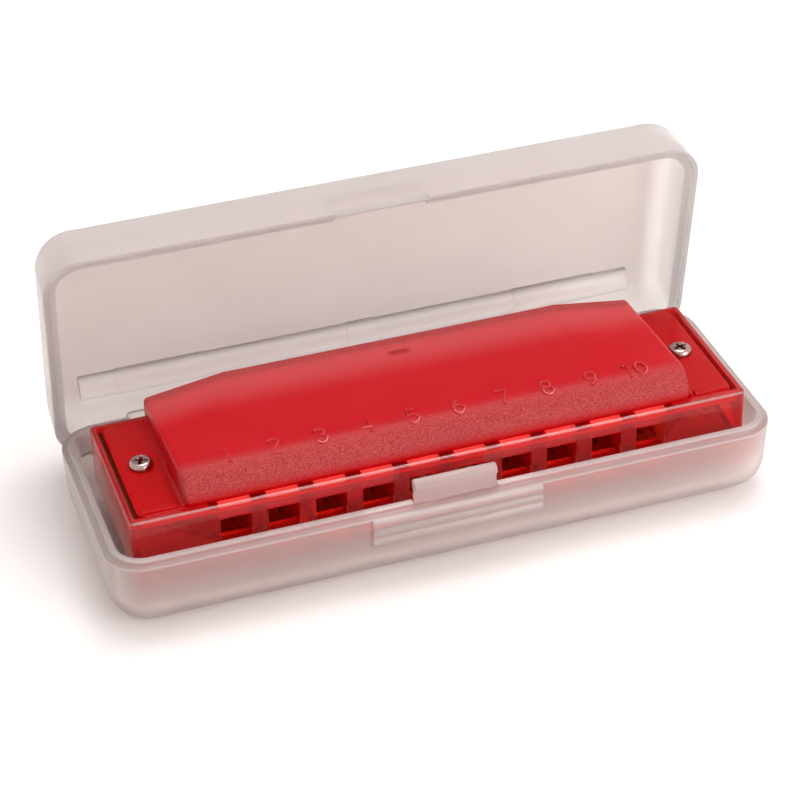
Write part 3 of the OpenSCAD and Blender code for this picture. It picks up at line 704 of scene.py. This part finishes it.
# %% Lower cover
only(cover)
bpy.ops.object.duplicate()
lower = bpy.context.object
lower.name = "cover_lower"
lower.scale.z = -1
lower.location.z = 2 * HARP_Z
bpy.ops.object.transform_apply(location=True, rotation=True, scale=True)
edit(lower)
bpy.ops.mesh.select_all(action="SELECT")
bpy.ops.mesh.normals_make_consistent(inside=False)
done()
print("covers: 2")

# %% [markdown]
# The screws have small pan heads with a cross pressed into them. A head is a short bar whose top edge is rounded right
# over. The cross is two tapered blocks cut out of it, turned a little so that the two screws don't look stamped alike.

# %% Cover screws
HEAD_R, HEAD_H, HEAD_ROUND = 1.9, 1.15, 0.85
CROSS, CROSS_TAPER, CROSS_TURN = (3.6, 0.8, 1.4), (0.35, 0.5, 1), 20
SHANK_R, SHANK_LEN, SHANK_DOWN = 0.95, 12.2, 1.1
screws = []
for side in (-1, 1):
    head_at = (side * SCREW_X, SCREW_Y, FLANGE_TOP + HEAD_H / 2)
    head = rod("screw_head", HEAD_R, HEAD_H, head_at, turn=(0, 0, 0), sides=48)
    edit(head, "EDGE")
    choose("edges", lambda edge: all(near(v.co.z, FLANGE_TOP + HEAD_H) for v in edge.verts))
    round_edges(HEAD_ROUND, 8)
    done()
    cross = []
    for turn in (CROSS_TURN, CROSS_TURN + 90):
        arm = start("cross", CROSS, (0, 0, 0))
        edit(arm, "VERT")
        choose("verts", lambda vert: vert.co.z < 0)
        bpy.ops.transform.resize(value=CROSS_TAPER, center_override=(0, 0, 0))
        done()
        arm.rotation_euler.z = math.radians(turn * side)
        arm.location = (side * SCREW_X, SCREW_Y, FLANGE_TOP + HEAD_H)
        only(arm)
        bpy.ops.object.transform_apply(location=True, rotation=True, scale=True)
        cross.append(arm)
    combine(head, cross, "DIFFERENCE")
    shank_at = (side * SCREW_X, SCREW_Y, HARP_Z - SHANK_DOWN)
    shank = rod("shank", SHANK_R, SHANK_LEN, shank_at, turn=(0, 0, 0), sides=32)
    combine(head, [shank], "UNION")
    apply(head, "BEVEL", width=0.04, segments=2, limit_method="ANGLE", angle_limit=math.radians(45))
    screws.append(head)
screw_pair = join(screws)
screw_pair.name = "screw_pair"
print("screws:", len(screws))

# %% [markdown]
# Plain numerals stand up along the top of the bulge, one over each hole. Blender's text object could write them, but
# its letters are flat. So each stroke is a line on a grid two wide and four high.

# %% Strokes of the numerals
def bow(cx, cy, rx, ry, first, last, steps=14):
    """Points along an arc, angles in degrees."""
    turn = [math.radians(first + (last - first) * k / steps) for k in range(steps + 1)]
    return [(cx + rx * math.cos(a), cy + ry * math.sin(a)) for a in turn]


STROKES = [
    [bow(1, 2, 0.95, 2, 90, 450, 24)],
    [[(0.4, 3.3), (1.1, 4), (1.1, 0)]],
    [bow(1, 3, 0.95, 1, 170, -35) + [(0, 0), (2, 0)]],
    [bow(0.95, 3.05, 0.9, 0.95, 160, -80) + bow(0.95, 1.05, 1.05, 1.05, 80, -160)],
    [[(1.5, 0), (1.5, 4), (0, 1.3), (2, 1.3)]],
    [[(1.8, 4), (0.4, 4), (0.2, 2.2)] + bow(0.95, 1.25, 1.05, 1.25, 120, -150)],
    [bow(1, 1.2, 0.95, 1.2, 90, 450, 20), [(0.08, 1.5), (0.5, 3), (1.4, 4)]],
    [[(0, 4), (2, 4), (0.8, 0)]],
    [bow(1, 3.05, 0.85, 0.95, 90, 450, 18), bow(1, 1.05, 1, 1.05, 90, 450, 18)],
    [bow(1, 2.8, 0.95, 1.2, 90, 450, 20), [(1.92, 2.5), (1.5, 1), (0.6, 0)]],
]
print("figures:", len(STROKES))

# %% [markdown]
# The lines are laid on the cover at the height that its surface has there, as one curve with a round section. Made a
# mesh, it reads as moulded plastic and not as print.

# %% Numerals
DIGIT_H, STROKE_R, WIDEN, PROUD = 3.1, 0.26, 1.12, 0.01
DIGIT_PITCH, DIGIT_SHIFT = 7.36, -0.05
TEN_START, TEN_STEP = -2.5, 2.9
DIGIT_Y = COVER_FRONT + BULGE_D - 1.75


def surface_z(x, y):
    """Height of the cover's outside: the round front, and behind it the top, which falls away towards the ends."""
    bulge_end = COVER_FRONT + BULGE_D * (1 - math.cos(math.radians(80)))
    run = 1 - (min(y, bulge_end) - COVER_FRONT) / BULGE_D
    front = BULGE_H * math.sqrt(1 - run**2)
    back = HIGH_H - (HIGH_H - LOW_H) * max(0, abs(x) - HIGH_HALF) / (BODY_HALF - HIGH_HALF)
    return COMB_TOP + front + (back - front) * max(0, y - bulge_end) / (COVER_BACK - bulge_end)


curve = bpy.data.curves.new("numerals", "CURVE")
curve.dimensions = "3D"
curve.bevel_depth = STROKE_R
curve.bevel_resolution = 3
curve.use_fill_caps = True
grid = DIGIT_H / 4
for i in range(HOLES):
    x = (i - (HOLES - 1) / 2) * DIGIT_PITCH + DIGIT_SHIFT
    for place, figure in enumerate(str(i + 1)):
        shift = x - grid if i < 9 else x + (TEN_START + TEN_STEP * place) * grid
        for line in STROKES[int(figure)]:
            spline = curve.splines.new("POLY")
            spline.points.add(len(line) - 1)
            for point, (u, v) in zip(spline.points, line):
                y = DIGIT_Y + v * grid
                point.co = (shift + u * grid * WIDEN, y, surface_z(x, y) + PROUD, 1)
numerals = bpy.data.objects.new("numerals", curve)
bpy.context.scene.collection.objects.link(numerals)
only(numerals)
bpy.ops.object.convert(target="MESH")
numerals = bpy.context.object
print("numerals:", len(numerals.data.polygons), "faces")

# %% [markdown]
# A finish is a network of shader nodes. It could be wired by hand in the editor, but a pattern worked out from places
# reads more easily as arithmetic. `Value` wraps one output socket, so `mask * 0.5 + 1` adds the Math nodes by itself,
# and `1 - mask` works too.

# %% Shader arithmetic
class Value:
    def __init__(self, finish, socket):
        self.finish = finish
        self.socket = socket

    def maths(self, operation, *inputs):
        return self.finish.node("ShaderNodeMath", {"operation": operation}, dict(enumerate(inputs)))

    def __add__(self, other):
        return self.maths("ADD", self, other)

    def __sub__(self, other):
        return self.maths("SUBTRACT", self, other)

    def __rsub__(self, other):
        return self.maths("SUBTRACT", other, self)

    def __mul__(self, other):
        return self.maths("MULTIPLY", self, other)

    def __truediv__(self, other):
        return self.maths("DIVIDE", self, other)

    def __pow__(self, other):
        return self.maths("POWER", self, other)

    __radd__ = __add__
    __rmul__ = __mul__

    def largest(self, other):
        return self.maths("MAXIMUM", self, other)

    def size(self):
        return self.maths("ABSOLUTE", self)

    def fraction(self):
        return self.maths("FRACT", self)

    def ramp(self, low, high):
        """0 below low and 1 above high, with a soft step between; low may be the larger."""
        settings = {"interpolation_type": "SMOOTHSTEP"}
        return self.finish.node("ShaderNodeMapRange", settings, {0: self, 1: low, 2: high, 3: 0.0, 4: 1.0})

# %% [markdown]
# `Finish` makes one material. It sets the sockets that stay the same all over, adds any node in one call, and gives
# places on the piece in millimetres. Colours are written as a picture shows them and made linear for the shader.

# %% Finishes
class Finish:
    def __init__(self, name, **constants):
        self.material = bpy.data.materials.new(name)
        self.material.use_nodes = True
        self.tree = self.material.node_tree
        self.shader = self.tree.nodes["Principled BSDF"]
        for socket, value in constants.items():
            self.shader.inputs[socket.replace("_", " ")].default_value = value

    def node(self, kind, settings=None, inputs=None, output=0):
        made = self.tree.nodes.new(kind)
        for name, value in (settings or {}).items():
            setattr(made, name, value)
        for key, value in (inputs or {}).items():
            self.feed(made.inputs[key], value)
        return Value(self, made.outputs[output])

    def feed(self, socket, value):
        if isinstance(value, Value):
            self.tree.links.new(value.socket, socket)
        else:
            socket.default_value = value

    def place(self):
        """Position on the object, in metres."""
        return self.node("ShaderNodeTexCoord", output=3)

    def axis(self, index):
        """One coordinate of the position, in millimetres."""
        return self.node("ShaderNodeSeparateXYZ", inputs={0: self.place()}, output=index) * 1000

    def noise(self, scale_mm, detail=2.0, roughness=0.5, where=None):
        inputs = {"Vector": where or self.place(), "Scale": 1000 / scale_mm, "Detail": detail, "Roughness": roughness}
        return self.node("ShaderNodeTexNoise", inputs=inputs)

    def mix(self, factor, low, high):
        """Blends two colours."""
        settings = {"data_type": "RGBA"}
        return self.node("ShaderNodeMix", settings, {0: factor, 6: low, 7: high}, output=2)

    def bump(self, height, depth_mm, strength=1.0):
        """Turns a height of 0 to 1 into a normal, depth_mm deep."""
        inputs = {"Strength": strength, "Distance": depth_mm * MM, "Height": height}
        return self.node("ShaderNodeBump", inputs=inputs)

    def set(self, **values):
        for socket, value in values.items():
            self.feed(self.shader.inputs[socket.replace("_", " ")], value)
        return self


def rgb(red, green, blue):
    """A linear colour from the 0 to 255 values that a picture shows."""
    def linear(c):
        c = c / 255
        return c / 12.92 if c <= 0.04045 else ((c + 0.055) / 1.055) ** 2.4
    return (linear(red), linear(green), linear(blue), 1.0)

# %% [markdown]
# The case is thin polypropylene: milky, satin outside, and clear enough that the red body shows through close behind
# it. Transmission with a fairly rough surface gives just that blur, and the part that isn't transmitted is lit from
# within like any pale plastic. Volume scatter would be truer, but slow and noisy. A very fine grain breaks up the
# highlight, as the mould's blasted surface does.

# %% Milky plastic
def milky(name, dark, light, transmission):
    """Milky polypropylene, a little uneven, with painted shading: darker towards the left end and lighter towards the
    right.
    """
    made = Finish(name, Roughness=0.3, Transmission_Weight=transmission, IOR=1.49, Specular_IOR_Level=0.4)
    # Painted shading: half of the tone's blend is a ramp from the shaded left end to the lit right end.
    painted_side_light = made.axis(0).ramp(-CASE_X / 2, CASE_X / 2)
    tone_and_shade = made.mix(made.noise(9, detail=3) * 0.5 + painted_side_light * 0.5, dark, light)
    made.set(
        Roughness=made.noise(2.5, detail=4) * 0.08 + 0.27,
        Normal=made.bump(made.noise(0.35, detail=1), 0.004),
    )
    return made, tone_and_shade


# %% [markdown]
# Where light enters a milky plastic edge-on, it glows. That glow is painted: the lid's rim and walls are painted paler
# than its panel, and so are the moulding, as a painted highlight, and the right end wall. The lid's mesh lies open, so
# the places on it are first turned back shut, by the same angle as the hinge.

# %% Lid plastic
LID_DARK_SHADED, LID_LIGHT_LIT = rgb(207, 196, 193), rgb(225, 216, 212)
WALL_GLOW, END_GLOW = rgb(240, 232, 229), rgb(255, 253, 251)
case_lid_plastic, lid_tone_and_light = milky("case_lid_plastic", LID_DARK_SHADED, LID_LIGHT_LIT, 0.78)
from_hinge_y, from_hinge_z = case_lid_plastic.axis(1) - HINGE_Y, case_lid_plastic.axis(2) - HINGE_Z
sine, cosine = math.sin(math.radians(OPEN_ANGLE)), math.cos(math.radians(OPEN_ANGLE))
shut_z = from_hinge_y * sine + from_hinge_z * cosine + HINGE_Z
shut_y = from_hinge_y * cosine - from_hinge_z * sine + HINGE_Y
lid_x = case_lid_plastic.axis(0)
# Painted glow and highlight: walls near the rim, the moulding and the right end wall are painted paler.
wall_glow_mask = shut_z.ramp(RIM + 11, RIM + 6)
moulding_highlight_mask = shut_y.ramp(12.2, 12.8) * shut_z.ramp(20.4, 21.2) * shut_z.ramp(23.4, 22.8)
moulding_highlight_mask = moulding_highlight_mask * lid_x.size().ramp(MOULDING_W / 2 + 0.2, MOULDING_W / 2 - 0.1)
lid_tone_and_light = case_lid_plastic.mix(wall_glow_mask.largest(moulding_highlight_mask * 0.7), lid_tone_and_light, WALL_GLOW)
end_glow_mask = lid_x.ramp(50.6, 52.4)
case_lid_plastic.set(Base_Color=case_lid_plastic.mix(end_glow_mask, lid_tone_and_light, END_GLOW))
print("lid finish:", len(case_lid_plastic.tree.nodes), "nodes")

# %% [markdown]
# Light from the red body behind the tray is painted on it as a faint red glow: a field on the front wall below the
# ledge, and the ledge itself. The tongue's crest gets a painted, nearly white highlight, where light runs along the
# edge.

# %% Tray plastic
TRAY_DARK_SHADED, TRAY_LIGHT_LIT = rgb(233, 219, 215), rgb(252, 240, 237)
WALL_RED_GLOW, LEDGE_RED_GLOW, CREST_HIGHLIGHT = rgb(236, 178, 172), rgb(232, 190, 184), rgb(255, 246, 244)
case_tray_plastic, tray_tone_and_light = milky("case_tray_plastic", TRAY_DARK_SHADED, TRAY_LIGHT_LIT, 0.74)
tray_x, tray_y, tray_z = (case_tray_plastic.axis(i) for i in range(3))
front_mask = tray_y.ramp(-CASE_Y / 2 + 5, -CASE_Y / 2 + 3)
# Painted light: red glow on the front wall and ledge, and a painted highlight on the tongue's crest.
red_glow = tray_z.ramp(5, 10.5) * tray_z.ramp(LEDGE - 0.1, LEDGE - 0.4) * tray_x.size().ramp(53, 49)
red_glow = red_glow * front_mask * tray_y.ramp(-CASE_Y / 2 - 0.25, -CASE_Y / 2 - 0.05)
ledge = tray_z.ramp(LEDGE - 0.03, LEDGE - 0.01) * tray_z.ramp(LEDGE + 0.5, LEDGE + 0.4)
crest_highlight = (tray_z.ramp(LEDGE - 0.4, LEDGE - 0.2) - ledge).largest(0) * tray_z.ramp(LEDGE + 1, LEDGE + 0.9)
tray_tone_and_light = case_tray_plastic.mix(red_glow * 0.6, tray_tone_and_light, WALL_RED_GLOW)
tray_tone_and_light = case_tray_plastic.mix(ledge * front_mask * 0.7, tray_tone_and_light, LEDGE_RED_GLOW)
case_tray_plastic.set(Base_Color=case_tray_plastic.mix(crest_highlight * 0.9, tray_tone_and_light, CREST_HIGHLIGHT))
print("tray finish:", len(case_tray_plastic.tree.nodes), "nodes")

# %% [markdown]
# The comb is cast clear, so light goes right through it. Behind its front top edge lie holes and partitions in turn,
# and through the clear red they show as bright and dark fields. Rays would need many bounces to gather that light, so
# the fields, the pale front edges, the lit end faces and the lit sills of the holes are painted light and shade. First
# their places are worked out from X, Y and Z, each as a mask that is 1 there and 0 elsewhere.

# %% Comb plastic: places
clear = Finish(
    "clear_red", Roughness=0.07, Transmission_Weight=0.78, IOR=1.4, Specular_IOR_Level=0.3, Emission_Strength=1.0
)
across, along, up_z = (clear.axis(i) for i in range(3))
level = (up_z - HARP_Z).size()
cell = (((across + HOLES * PITCH / 2) / PITCH).fraction() - 0.5).size() * PITCH
row = across.size().ramp(HOLES * PITCH / 2 + 0.3, HOLES * PITCH / 2)
over_hole = cell.ramp(HOLE_W / 2 + 0.15, HOLE_W / 2 - 0.1) * row
strip = along.ramp(COVER_FRONT + 0.2, COVER_FRONT - 0.1) * level.ramp(COMB_Z / 2 - 0.6, COMB_Z / 2 - 0.3)
front = along.ramp(COMB_FRONT + 0.4, COMB_FRONT + 0.2)
# Painted highlight: the comb's end faces are painted paler, as if lit.
lit_end_face = across.size().ramp(COMB_X / 2 - 0.15, COMB_X / 2 - 0.02)
edge_line = front * level.ramp(COMB_Z / 2 - 0.35, COMB_Z / 2 - 0.2)
sill = front * over_hole * level.ramp(HOLE_H / 2 + 0.45, HOLE_H / 2 + 0.3) * up_z.ramp(HARP_Z, HARP_Z - 0.5)
print("comb places:", len(clear.tree.nodes), "nodes")

# %% [markdown]
# Then each place gets its colour, one laid over the other as with masks in a paint program: first the body's two reds,
# then the painted lit sills, fields and end faces, last the painted line of light along the edge. The whole body gets a
# faint painted glow, and only the fields over the holes and the sills give off more than a trace.

# %% Comb plastic: colours
body = clear.mix(clear.noise(6, detail=3), rgb(246, 34, 40), rgb(255, 46, 48))
field = clear.mix(over_hole, rgb(140, 0, 10), rgb(255, 104, 96))
for mask, colour in (
    (sill * 0.8, rgb(255, 70, 60)),
    (strip * row, field),
    (lit_end_face * 0.6, rgb(255, 150, 146)),
    (edge_line, rgb(255, 226, 224)),
):
    body = clear.mix(mask, body, colour)
# Painted glow: a faint emission all over the comb, stronger over the holes and on the sills.
DIM, LIT = (0.026, 0.0004, 0.0004, 1), (0.26, 0.018, 0.014, 1)
clear.set(
    Base_Color=body,
    Emission_Color=clear.mix(strip * row * over_hole + sill, DIM, LIT),
    Normal=clear.bump(clear.noise(1.6, detail=2), 0.006),
)
print("comb finish:", len(clear.tree.nodes), "nodes")

# %% [markdown]
# The covers are the same red with a satin mould texture. The round front and the back edge have a coarser grain than
# the smooth top, with painted glints, so the grain's strength follows the place on the cover. Towards the back a
# painted pale reflection of the open lid lies on the top, and the post inside is painted as a small dark patch of
# shade. One material does it all, because a seam between two would show.

# %% Cover plastic: places
satin = Finish("satin_red", Roughness=0.24, Transmission_Weight=0.15, IOR=1.5, Specular_IOR_Level=0.07)
along, up_z = satin.axis(1), satin.axis(2)
above_flange = (up_z - HARP_Z).size() - (FLANGE_TOP - HARP_Z)
front_field = along.ramp(COVER_FRONT + 5.6, COVER_FRONT + 1.6) * above_flange.ramp(0, 2.2)
back_field = along.ramp(COVER_BACK - 2.6, COVER_BACK - 1.2) * above_flange.ramp(1, 2)
# Painted reflection: a pale sheen of the open lid on the cover's top towards the back.
lid_reflection = along.ramp(1, 9) * above_flange.ramp(1, 3) * (satin.noise(60, detail=0) * 0.6 + 0.5)
grainy = front_field.largest(back_field * 0.7)
# Painted shade: a small dark patch on the top, over the post inside.
post_shade = along.ramp(POST_Y - 1.2, POST_Y + 0.2) * along.ramp(POST_Y + 0.9, POST_Y + 0.5)
post_shade = post_shade * satin.axis(0).size().ramp(2.3, 1.0)
print("cover places:", len(satin.tree.nodes), "nodes")

# %% [markdown]
# The grain is a noise finer than a fifth of a millimetre. It feeds three things at once, as on a real mould's sparked
# surface: dark and pale specks, a real grain whose pale specks are painted glints, more roughness, and a bump that
# makes the specks catch the light.

# %% Cover plastic: colours
plain = satin.mix(satin.noise(7, detail=3), rgb(193, 17, 28), rgb(202, 23, 34))
for mask, colour in (
    (above_flange.ramp(1.6, 0.2), rgb(190, 0, 6)),
    (lid_reflection * 0.6, rgb(232, 112, 114)),
    (post_shade * 0.7, rgb(150, 6, 16)),
):
    plain = satin.mix(mask, plain, colour)
# The grain is real; its pale specks are painted glints.
speck = satin.noise(0.17, detail=2, roughness=0.65)
grain_and_glints = satin.mix(speck.ramp(0.3, 0.75), rgb(130, 18, 26), rgb(204, 108, 104))
satin.set(
    Base_Color=satin.mix(grainy * 0.68, plain, grain_and_glints),
    Roughness=grainy * 0.26 + 0.24,
    Normal=satin.bump(speck * grainy, 0.03),
)
print("cover finish:", len(satin.tree.nodes), "nodes")

# %% [markdown]
# The numerals are moulded with the cover, but lips and fingers rub them smooth, so they are glossier than the satin
# round them. Their red is the same, painted a little lighter for the light that their rounded tops catch.

# %% Numeral plastic
bead_red = Finish("numeral_red", Roughness=0.18, Transmission_Weight=0.3, IOR=1.5, Specular_IOR_Level=0.5)
# Painted light: the numerals' red is lighter than the cover's, as if lit.
bead_red.set(Base_Color=bead_red.mix(bead_red.noise(1.2), rgb(206, 34, 42), rgb(222, 48, 56)))

# %% [markdown]
# The reed plates and rivets are rolled brass. Rolling leaves long, fine lines along X: a noise does that once a Mapping
# node has stretched it. At the very ends, deep in the comb's groove, the brass is painted dark brown as shade.

# %% Plate brass
brass = Finish("plate_brass", Metallic=1.0, Roughness=0.35)
stretched = brass.node("ShaderNodeMapping", inputs={"Vector": brass.place(), "Scale": (0.05, 1, 1)})
brushing = brass.noise(0.25, detail=3, where=stretched)
rolled = brass.mix(brushing, rgb(196, 150, 78), rgb(226, 184, 110))
# Painted shade: the plates' ends deep in the comb's groove are darkened.
groove_shade = brass.axis(0).size().ramp(FLANGE_HALF - 0.4, FLANGE_HALF)
brass.set(
    Base_Color=brass.mix(groove_shade, rolled, rgb(96, 40, 18)),
    Roughness=brushing * 0.2 + 0.26,
    Normal=brass.bump(brushing, 0.01),
)
print("brass:", len(brass.tree.nodes), "nodes")

# %% [markdown]
# The reeds are ground to their pitch with a fine wheel, so they are brighter and their lines run along Y.

# %% Reed brass
reed = Finish("reed_brass", Metallic=1.0, Roughness=0.25)
stretched = reed.node("ShaderNodeMapping", inputs={"Vector": reed.place(), "Scale": (1, 0.06, 1)})
ground = reed.noise(0.2, detail=2, where=stretched)
reed.set(Base_Color=reed.mix(ground, rgb(214, 178, 104), rgb(238, 206, 138)), Roughness=ground * 0.15 + 0.2)
print("reed brass:", len(reed.tree.nodes), "nodes")

# %% [markdown]
# The screws and nuts are plated steel, with a painted pinkish reflection of the red round it. A screw's cross is
# painted darker, as shade and red reflection in the recess: the distance from its axis and the depth below its top say
# where that is.

# %% Screw steel
steel = Finish("plated_steel", Metallic=1.0, Roughness=0.16)
wear = steel.noise(0.4, detail=3)
# Painted reflection: the plating's greys are tinted pink by the red round the screws.
plating_and_reflection = steel.mix(wear, rgb(150, 126, 122), rgb(196, 168, 164))
from_axis = ((steel.axis(0).size() - SCREW_X) ** 2 + (steel.axis(1) - SCREW_Y) ** 2) ** 0.5
# Painted shade and red reflection in the cross recess.
recess_shade = from_axis.ramp(1.5, 1.3) * steel.axis(2).ramp(FLANGE_TOP + HEAD_H - 0.1, FLANGE_TOP + HEAD_H - 0.3)
steel.set(
    Base_Color=steel.mix(recess_shade, plating_and_reflection, rgb(84, 14, 14)),
    Roughness=wear * 0.14 + 0.1,
    Normal=steel.bump(wear, 0.006),
)
print("materials:", len(bpy.data.materials))

# %% [markdown]
# A finished piece is cleaned of doubled points, scaled to metres and smoothed where its faces meet at a low angle, so
# that roundings look round and real edges stay sharp. Then it rides on its body and takes its CAD nodes' place.

# %% Finish a piece
def box_mm(piece):
    points = [v.co for v in piece.data.vertices]
    return [[round(f(p[i] for p in points) / MM, 1) for i in range(3)] for f in (min, max)]


def settle(piece, body, *nodes, slot=None):
    """Scales a finished piece to metres, smooths its curved faces and hands it to its body."""
    edit(piece)
    bpy.ops.mesh.select_all(action="SELECT")
    bpy.ops.mesh.remove_doubles(threshold=0.0004)
    bpy.ops.mesh.dissolve_degenerate(threshold=0.0003)
    done()
    piece.scale = (MM, MM, MM)
    bpy.ops.object.transform_apply(location=True, rotation=True, scale=True)
    bpy.ops.object.shade_smooth_by_angle(angle=math.radians(32))
    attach(piece, body)
    if nodes:
        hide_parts(*nodes)
    print(piece.name, len(piece.data.polygons), "faces, mm box", box_mm(piece))


def dress(item, finish):
    item.data.materials.clear()
    item.data.materials.append(finish.material)


# %% [markdown]
# Each new piece takes the place of the CAD solid that it was modelled from. The numerals have none of their own: they
# ride along with the mouth organ. The plates, reeds, rivets and nuts keep their CAD solids and only get their metal.

# %% Hand the pieces over
for piece, body, nodes, slot, finish in (
    (tray, "case_tray", ["case_tray"], "case_plastic", case_tray_plastic),
    (lid, "case_lid", ["case_lid"], "case_plastic", case_lid_plastic),
    (tab, "latch_tab", ["latch_tab"], "case_plastic", case_tray_plastic),
    (comb, "instrument", ["comb"], "comb_plastic", clear),
    (cover, "instrument", ["cover_top"], "cover_plastic", satin),
    (lower, "instrument", ["cover_bottom"], "cover_plastic", satin),
    (numerals, "instrument", [], "cover_plastic", bead_red),
    (screw_pair, "instrument", ["cover_screws"], "screw_steel", steel),
):
    settle(piece, body, *nodes, slot=slot)
    dress(piece, finish)
for name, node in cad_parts.items():
    if name.startswith(("reed_plate", "rivets")):
        dress(node, brass)
    if name.startswith(("blow", "draw")):
        dress(node, reed)
    if name == "cover_nuts":
        dress(node, steel)
print("materials handed out:", sum(material.users > 0 for material in bpy.data.materials))

# %% [markdown]
# The light is soft and plain, as in a small photo tent: a large lamp high up, and a weaker one low at the front right,
# which brightens the tray's wall. Both are area lamps, because a point lamp would draw hard shadows.

# %% Lamps
def area_light(name, watts, size, place, target):
    lamp = bpy.data.lights.new(name, "AREA")
    lamp.energy = watts
    lamp.size = size
    lamp_object = bpy.data.objects.new(name, lamp)
    bpy.context.scene.collection.objects.link(lamp_object)
    lamp_object.location = place
    lamp_object.rotation_euler = (Vector(target) - Vector(place)).to_track_quat("-Z", "Y").to_euler()


CASE_MIDDLE = (0, 0, 0.02)
area_light("key", watts=3.6, size=0.5, place=(0.16, 0.16, 0.9), target=CASE_MIDDLE)
area_light("fill", watts=2.3, size=0.5, place=(0.36, -0.5, 0.26), target=CASE_MIDDLE)
print("lamps:", len(bpy.data.lights))

# %% [markdown]
# The world lights the case from all round with a faintly warm white. What looks straight at it, or through glass, or in
# a reflection, sees plain white instead: the Light Path node tells these rays from the light that falls on the case.

# %% World
WARM_WHITE, PLAIN_WHITE, WORLD_STRENGTH = (1, 0.95, 0.936, 1), (1, 1, 1, 1), 0.78
world = bpy.data.worlds.new("studio")
world.use_nodes = True
bpy.context.scene.world = world
tree = world.node_tree
lighting = tree.nodes["Background"]
lighting.inputs["Color"].default_value = WARM_WHITE
lighting.inputs["Strength"].default_value = WORLD_STRENGTH
path, white, blend = (tree.nodes.new(f"ShaderNode{kind}") for kind in ("LightPath", "Background", "MixShader"))
white.inputs["Color"].default_value = PLAIN_WHITE
shown = path.outputs["Is Camera Ray"]
for kind in ("Glossy", "Transmission"):
    either = tree.nodes.new("ShaderNodeMath")
    either.operation = "MAXIMUM"
    tree.links.new(shown, either.inputs[0])
    tree.links.new(path.outputs[f"Is {kind} Ray"], either.inputs[1])
    shown = either.outputs[0]
tree.links.new(shown, blend.inputs[0])
tree.links.new(lighting.outputs[0], blend.inputs[1])
tree.links.new(white.outputs[0], blend.inputs[2])
tree.links.new(blend.outputs[0], tree.nodes["World Output"].inputs["Surface"])
print("world nodes:", len(tree.nodes))

# %% [markdown]
# The case stands on a sheet of warm white paper. It keeps the case's shadow, but would turn grey further off, where
# less lamp light falls. So it gives off a little light of its own, more with every step away from the case.

# %% Floor
SHEET, FADE_MM, FAR_GLOW, NEAR_GLOW = 4, 48, 0.3, 0.01
PAPER, GLOW_WHITE = (0.9, 0.865, 0.85, 1), (1, 0.98, 0.975, 1)
bpy.ops.object.select_all(action="DESELECT")
bpy.ops.mesh.primitive_plane_add(size=SHEET, location=(0, 0, 0))
floor = bpy.context.object
floor.name = "floor"
paper = Finish("floor_paper", Roughness=0.9, Specular_IOR_Level=0.1, Emission_Strength=1.0)
seen = [paper.node("ShaderNodeLightPath", output=f"Is {kind} Ray") for kind in ("Camera", "Glossy", "Transmission")]
seen = seen[0].largest(seen[1]).largest(seen[2])
past_end = (paper.axis(0).size() - CASE_X / 2).largest(0)
past_side = (paper.axis(1).size() - CASE_Y / 2).largest(0)
away = ((past_end ** 2 + past_side ** 2) ** 0.5).ramp(0, FADE_MM) * FAR_GLOW + NEAR_GLOW
paper.set(
    Base_Color=PAPER,
    Emission_Color=paper.mix(seen * away, (0, 0, 0, 1), GLOW_WHITE),
)
floor.data.materials.append(paper.material)
print("floor laid")
